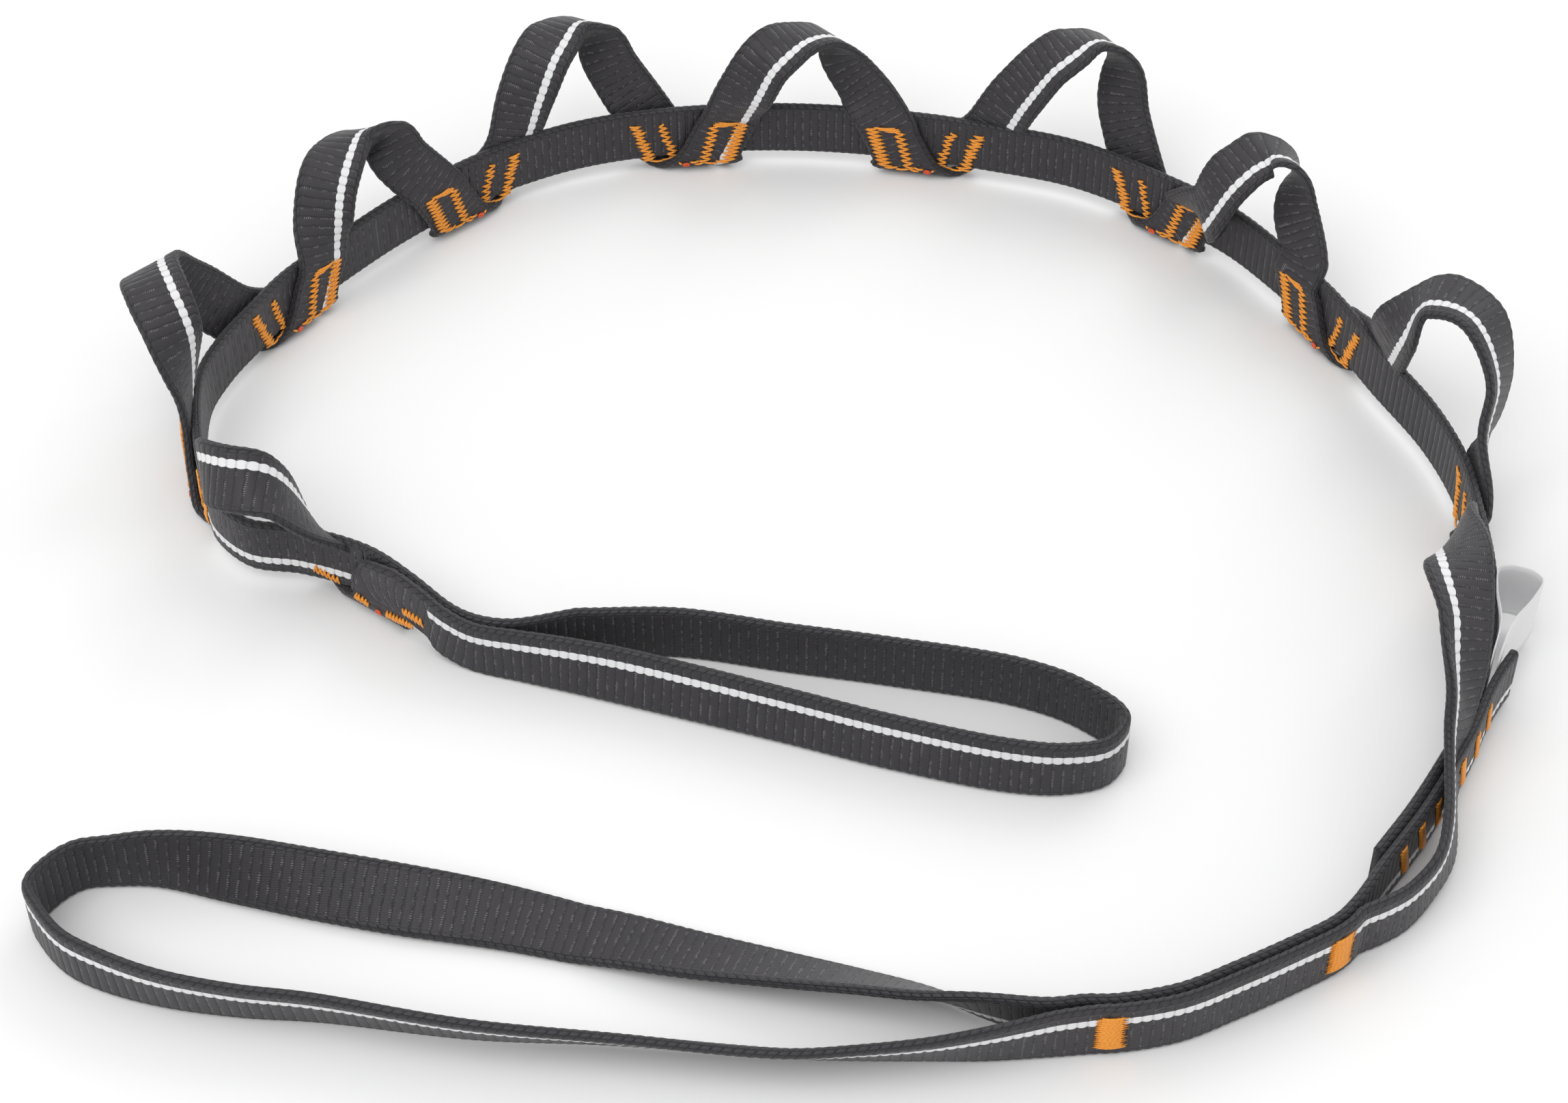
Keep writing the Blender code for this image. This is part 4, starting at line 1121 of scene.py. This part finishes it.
class DAISY_OT_label(bpy.types.Operator):
    """Fold the bare ribbon of the label"""

    bl_idname = "daisy.label"
    bl_label = "Label"

    def execute(self, context):
        settings = context.scene.daisy_label
        root_s = TAIL_FREE_END_S + WEBBING_WIDTH / 3
        room = overlap_offset(root_s) - WEBBING_THICKNESS
        foot = on_chain(root_s, HALF_THICKNESS + room / 2, WEBBING_WIDTH / 4)
        heading = unit([*LABEL_HEADING, 0.0])
        left = np.array([*left_of(heading), 0.0])
        outline = LABEL_OUTLINE + [(1.0, 0.0)] + [(share, -out) for share, out in LABEL_OUTLINE[::-1]]
        up = np.array([0.0, 0.0, 1.0])
        rows = []
        for share, out in smooth_curve(outline, 2)[::LABEL_STEPS]:
            place = foot + heading * settings.reach * share + left * out * settings.spread / 2
            rows.append([place + up * settings.height * rise for rise in np.linspace(0.0, 1.0, LABEL_ROWS)])
        piece = lay_ribbon("label_ribbon", rows, settings.thickness)
        start = tuple(foot + LAYOUT_PLACE)
        end = tuple(foot + heading * settings.reach * LABEL_BEND + LAYOUT_PLACE)
        blended = (LAST_LINK, "label", start, end)
        dress(piece, nodes=["label"], blended=blended, material="White ribbon")
        return {"FINISHED"}


# Sides of a thread's tube, how far loose stitches drift along their bar, as a share of the pitch, and
# where bars across the strap start and end, as shares of its width
THREAD_SIDES = 6
STITCH_DRIFT = 0.8
BAR_FOOT, BAR_HEAD = 0.18, 0.83


def lay_thread(name, paths, thickness):
    """Sewing thread as thin tubes along the given paths, joined into one piece."""
    mesh = bpy.data.meshes.new(name)
    whole = bmesh.new()
    layer = whole.loops.layers.uv.new("strap")
    angles = np.linspace(0, 2 * math.pi, THREAD_SIDES + 1)
    cosines, sines = np.cos(angles)[:, None], np.sin(angles)[:, None]
    around = angles * thickness / 2
    for path in paths:
        path = np.asarray(path, float) + LAYOUT_PLACE
        run = unit(np.gradient(path, axis=0))
        helper = np.array([0.0, 0.0, 1.0]) if abs(run[0][2]) < 0.9 else np.array([1.0, 0.0, 0.0])
        first = unit(np.cross(run, helper))
        second = np.cross(run, first)
        along = lengths_along(path)
        start = len(whole.verts)
        bmesh.ops.create_grid(whole, x_segments=THREAD_SIDES, y_segments=len(path) - 1, size=1)
        whole.verts.ensure_lookup_table()
        made = whole.verts[start:]
        ring = first[:, None] * cosines + second[:, None] * sines
        places = (path[:, None] + ring * thickness / 2).reshape(-1, 3)
        index = {}
        for number, (vert, place) in enumerate(zip(made, places)):
            vert.co = place
            row, side = divmod(number, THREAD_SIDES + 1)
            index[vert] = (along[row], around[side])
        for face in {face for vert in made for face in vert.link_faces}:
            for loop in face.loops:
                loop[layer].uv = index[loop.vert]
    close_shell(whole, mesh, thickness / 200)
    return new_object(name, mesh)


def sew(name, paths, body, nodes=(), material="Orange thread"):
    """A piece of stitching or a knot, along these paths in the layout."""
    piece = lay_thread(name, paths, bpy.context.scene.daisy_thread.thickness)
    dress(piece, body=body, nodes=nodes, material=material)


def stitch(place_at, start, end, shares, rise, sink):
    """Places along a stitch between two (across, up) places, its ends drawn into the cloth."""
    thickness = bpy.context.scene.daisy_thread.thickness
    places = []
    for share in shares:
        across, up = start + (end - start) * share
        places.append(place_at(across, up, thickness * (math.sin(math.pi * share) * rise - sink)))
    return places


def zigzag(place_at, bar, density=1.0, loose=0.0, seed=0):
    """A zigzag of thread up a bar: place_at gives the place for across, up and out.

    A bar is its foot and head, each (across, up), and half its width; loose stitches vary in length.
    """
    pitch = bpy.context.scene.daisy_thread.stitch_pitch
    foot, head, half_width = bar
    axis = np.array(head) - foot
    crossing = np.array([1.0, 0.0]) if abs(axis[1]) > abs(axis[0]) else np.array([0.0, 1.0])
    chance = np.random.default_rng(seed)
    count = int(np.max(np.abs(axis)) / pitch * density)
    ends = np.arange(count + 1)
    reach = half_width * (1 - loose * chance.random(count + 1)) * np.where(ends % 2, 1, -1)
    drift = chance.uniform(-1, 1, count + 1) * loose * pitch * STITCH_DRIFT
    corners = foot + axis * (ends / count)[:, None]
    corners = corners + crossing * reach[:, None] + crossing[::-1] * drift[:, None]
    shares = np.linspace(0, 1, 6)[:-1]
    path = []
    for start, end in zip(corners[:-1], corners[1:]):
        path += stitch(place_at, start, end, shares, rise=0.7, sink=0.25)
    return path


def upright_bar(half_width):
    """A bar across the strap, from near its lower edge to near its upper one."""
    return (0, WEBBING_WIDTH * BAR_FOOT), (0, WEBBING_WIDTH * BAR_HEAD), WEBBING_WIDTH * half_width


# A junction's stitches, in metres from the junction toward its visible leg and up from the
# backbone's edge: bars as foot, head and half width, then straight stitches and a knot
INNER_BAR = ((0.0047, -0.0004), (0.0084, 0.0132), 0.0020)
OUTER_BAR = ((0.0124, -0.0006), (0.0170, 0.0138), 0.0026)
STRAIGHT_STITCHES = [
    ((0.0078, 0.0134), (0.0125, 0.0128)), ((0.0083, 0.0139), (0.0150, 0.0132)),
    ((0.0095, 0.0142), (0.0162, 0.0138)), ((0.0044, -0.0008), (0.0088, -0.0014)),
    ((0.0084, -0.0006), (0.0124, -0.0012)), ((-0.0124, -0.0008), (-0.0080, -0.0012)),
    ((-0.0084, -0.0010), (-0.0044, 0.0000)), ((-0.0042, -0.0002), (-0.0026, -0.0010)),
    ((0.0002, -0.0006), (0.0030, -0.0002)), ((0.0016, -0.0014), (0.0046, -0.0008)),
]
KNOT = (-0.0012, -0.0012)
# The first junction is sewn with three bars in a row along the strap's lower edge
FIRST_BARS = [
    ((-0.0165, 0.0042), (-0.0090, 0.0016), 0.0014),
    ((-0.0052, 0.0020), (0.0028, 0.0004), 0.0014),
    ((0.0098, 0.0010), (0.0200, 0.0030), 0.0015),
]
FIRST_KNOT = (0.0066, -0.0002)
# A knot is a coil of thread that swings to and fro: its radius in threads, its turns, the swing's
# pace beside the turns' and its rows of places
KNOT_RADIUS = 0.85
KNOT_TURNS = 2.5
KNOT_SWING = 0.4
KNOT_ROWS = 26
# The neck's tack, in webbing widths: its height, its ends along the chain and its half width
NECK_TACK_HEIGHT = 0.625
NECK_TACK_ENDS = (-1.33, -0.92)
NECK_TACK_HALF = 0.09


def sew_junction(junction):
    """The bars, straight stitches and knot that hold a fold to the backbone."""
    side = TACK_SIDES[junction]
    toward = 1 if FOLD_SIDES[junction] == side else -1

    def place(across, z, lift):
        """Stitches lie on the leg where it is, on the backbone beyond its edge."""
        middle = leg_run(FOLD_REACH + max(z, 0))
        on_leg = smooth_step((across - middle + HALF_WIDTH) / HALF_THICKNESS + 0.5)
        out = HALF_THICKNESS + LAYER_PITCH * on_leg
        return on_chain(JUNCTION_S[junction] + toward * across, side * (out + lift), CHAIN_BASE + z)

    paths = []
    if junction == 0:
        for number, bar in enumerate(FIRST_BARS):
            paths.append(zigzag(place, bar, density=1.5, loose=0.15, seed=number))
    else:
        for mirror, loose in ((1, 0.12), (-1, 0.42)):
            for number, (foot, head, half) in enumerate((INNER_BAR, OUTER_BAR)):
                bar = ((mirror * foot[0], foot[1]), (mirror * head[0], head[1]), half)
                seed = junction * 4 + number * 2 + (mirror > 0)
                paths.append(zigzag(place, bar, density=1.0 + 0.25 * number, loose=loose, seed=seed))
        for start, end in np.array(STRAIGHT_STITCHES):
            paths.append(stitch(place, start, end, np.linspace(0, 1, 7), rise=0.8, sink=0.3))
    sew(f"junction_stitches_{junction}", paths, f"link_{junction}", [f"junction_tack_{junction}"])
    knot_x, knot_z = FIRST_KNOT if junction == 0 else KNOT
    radius = bpy.context.scene.daisy_thread.thickness * KNOT_RADIUS
    bead = []
    for turn in np.linspace(0, KNOT_TURNS * 2 * math.pi, KNOT_ROWS):
        swing = radius * math.sin(turn * KNOT_SWING)
        across = knot_x + radius * math.cos(turn) + swing
        bead.append(place(across, knot_z + radius * math.sin(turn), radius / 3))
    sew(f"junction_knot_{junction}", [bead], f"link_{junction}", material="Knot thread")


def sew_neck():
    """The tack across the fan at the small loop's neck."""

    def place(across, z, lift):
        out = FOLD_RADIUS + HALF_THICKNESS + lift
        return on_chain(JUNCTION_S[0] + z, out, NECK_TACK_HEIGHT * WEBBING_WIDTH + across)

    foot, head = ((0, end * WEBBING_WIDTH) for end in NECK_TACK_ENDS)
    path = zigzag(place, (foot, head, WEBBING_WIDTH * NECK_TACK_HALF), density=1.4)
    sew("neck_stitches", [path], "link_0", ["neck_tack"])


def sew_overlap(number):
    """One of the slanting tacks that hold the sewn end to the backbone."""
    centre = TAIL_FREE_END_S + (CHAIN.total - TAIL_FREE_END_S) * OVERLAP_TACKS[number]

    def place(across, z, lift):
        along = centre + across + (z - HALF_WIDTH) * math.tan(OVERLAP_SLANT)
        return on_chain(along, overlap_offset(along) + HALF_THICKNESS + lift, z + chain_base(along))

    path = zigzag(place, upright_bar(half_width=0.11), density=1.9, loose=0.1, seed=number)
    sew(f"overlap_stitches_{number}", [path], LAST_LINK, [f"overlap_tack_{number}"])


def sew_doubled(letter):
    """One of the two broad tacks that close the doubled section."""
    centre = BIG_ROUTE.length_near(DOUBLED_TACKS[letter])

    def place(across, z, lift):
        return [*beside_big_loop(centre + across, LAYER_PITCH + HALF_THICKNESS + lift), z]

    path = zigzag(place, upright_bar(half_width=0.21), density=2.2, loose=0.06)
    sew(f"doubled_stitches_{letter}", [path], LAST_LINK, [f"doubled_tack_{letter}"])


class DAISY_OT_stitching(bpy.types.Operator):
    """Sew the tacks in orange thread"""

    bl_idname = "daisy.stitching"
    bl_label = "Stitching"

    def execute(self, context):
        for junction in range(JUNCTIONS):
            sew_junction(junction)
        sew_neck()
        for number in range(len(OVERLAP_TACKS)):
            sew_overlap(number)
        for letter in DOUBLED_TACKS:
            sew_doubled(letter)
        return {"FINISHED"}


class DAISY_OT_stage(bpy.types.Operator):
    """Set up the floor, the soft light and the camera"""

    bl_idname = "daisy.stage"
    bl_label = "Stage"

    def execute(self, context):
        settings = context.scene.daisy_stage
        scene = context.scene
        camera = new_object("camera", bpy.data.cameras.new("camera"))
        camera.data.lens = settings.focal_length
        camera.data.sensor_width = 36.0
        camera.data.clip_start = 0.01
        camera.data.clip_end = 50.0
        camera.location = settings.camera_place
        camera.rotation_euler = (settings.camera_tilt, 0.0, 0.0)
        scene.camera = camera
        mesh = bpy.data.meshes.new("floor")
        plane = bmesh.new()
        bmesh.ops.create_grid(plane, x_segments=2, y_segments=2, size=6.0)
        plane.to_mesh(mesh)
        plane.free()
        floor = new_object("floor", mesh)
        material, _, _ = new_material(
            "Pale floor", Base_Color=tuple(settings.floor_colour), Roughness=0.9, Specular_IOR_Level=0.0
        )
        floor.data.materials.append(material)
        for name, place, size, power in (
            ("key_lamp", (-0.5, -0.6, 1.3), 1.2, settings.key_power),
            ("rim_lamp", (0.6, 0.9, 0.9), 0.9, settings.rim_power),
        ):
            lamp = bpy.data.lights.new(name, "AREA")
            lamp.size = size
            lamp.energy = power
            holder = new_object(name, lamp)
            holder.location = place
            toward = -holder.location.normalized()
            holder.rotation_euler = toward.to_track_quat("-Z", "Y").to_euler()
        world = bpy.data.worlds.new("studio")
        world.use_nodes = True
        scene.world = world
        graph = Graph(world.node_tree)
        background = world.node_tree.nodes["Background"]
        paths = graph.node("ShaderNodeLightPath")
        seen = graph.math("MAXIMUM", paths.outputs["Is Camera Ray"], paths.outputs["Is Glossy Ray"])
        strength = graph.add(graph.multiply(seen, 1.0 - settings.world_strength), settings.world_strength)
        graph.feed(background.inputs["Color"], (1.0, 1.0, 1.0, 1.0))
        graph.feed(background.inputs["Strength"], strength)
        scene.view_settings.view_transform = "Standard"
        return {"FINISHED"}


class DAISY_PT_panel(bpy.types.Panel):
    """The daisy chain's pieces, in the order they are made"""

    bl_idname = "DAISY_PT_panel"
    bl_label = "Daisy chain"
    bl_space_type = "VIEW_3D"
    bl_region_type = "UI"
    bl_category = "Daisy chain"

    def draw(self, context):
        for operator in OPERATORS:
            self.layout.operator(operator.bl_idname)
        for group in GROUPS:
            settings = getattr(context.scene, group)
            for name in settings.bl_rna.properties.keys():
                if name not in ("rna_type", "name"):
                    self.layout.prop(settings, name)


GROUPS = {
    "daisy_webbing": WebbingSettings,
    "daisy_thread": ThreadSettings,
    "daisy_label": LabelSettings,
    "daisy_stage": StageSettings,
}
OPERATORS = (
    DAISY_OT_stage,
    DAISY_OT_backbone,
    DAISY_OT_pockets,
    DAISY_OT_small_loop,
    DAISY_OT_big_loop,
    DAISY_OT_stitching,
    DAISY_OT_label,
)


def register():
    for cls in (*GROUPS.values(), *OPERATORS, DAISY_PT_panel):
        bpy.utils.register_class(cls)
    for name, cls in GROUPS.items():
        setattr(bpy.types.Scene, name, bpy.props.PointerProperty(type=cls))


def unregister():
    for name in GROUPS:
        delattr(bpy.types.Scene, name)
    for cls in (DAISY_PT_panel, *OPERATORS[::-1], *list(GROUPS.values())[::-1]):
        bpy.utils.unregister_class(cls)


def main():
    register()
    weave_group()
    fibre_group()
    braid_group()
    for operator in OPERATORS:
        group, name = operator.bl_idname.split(".")
        getattr(getattr(bpy.ops, group), name)()


if __name__ == "__main__":
    main()
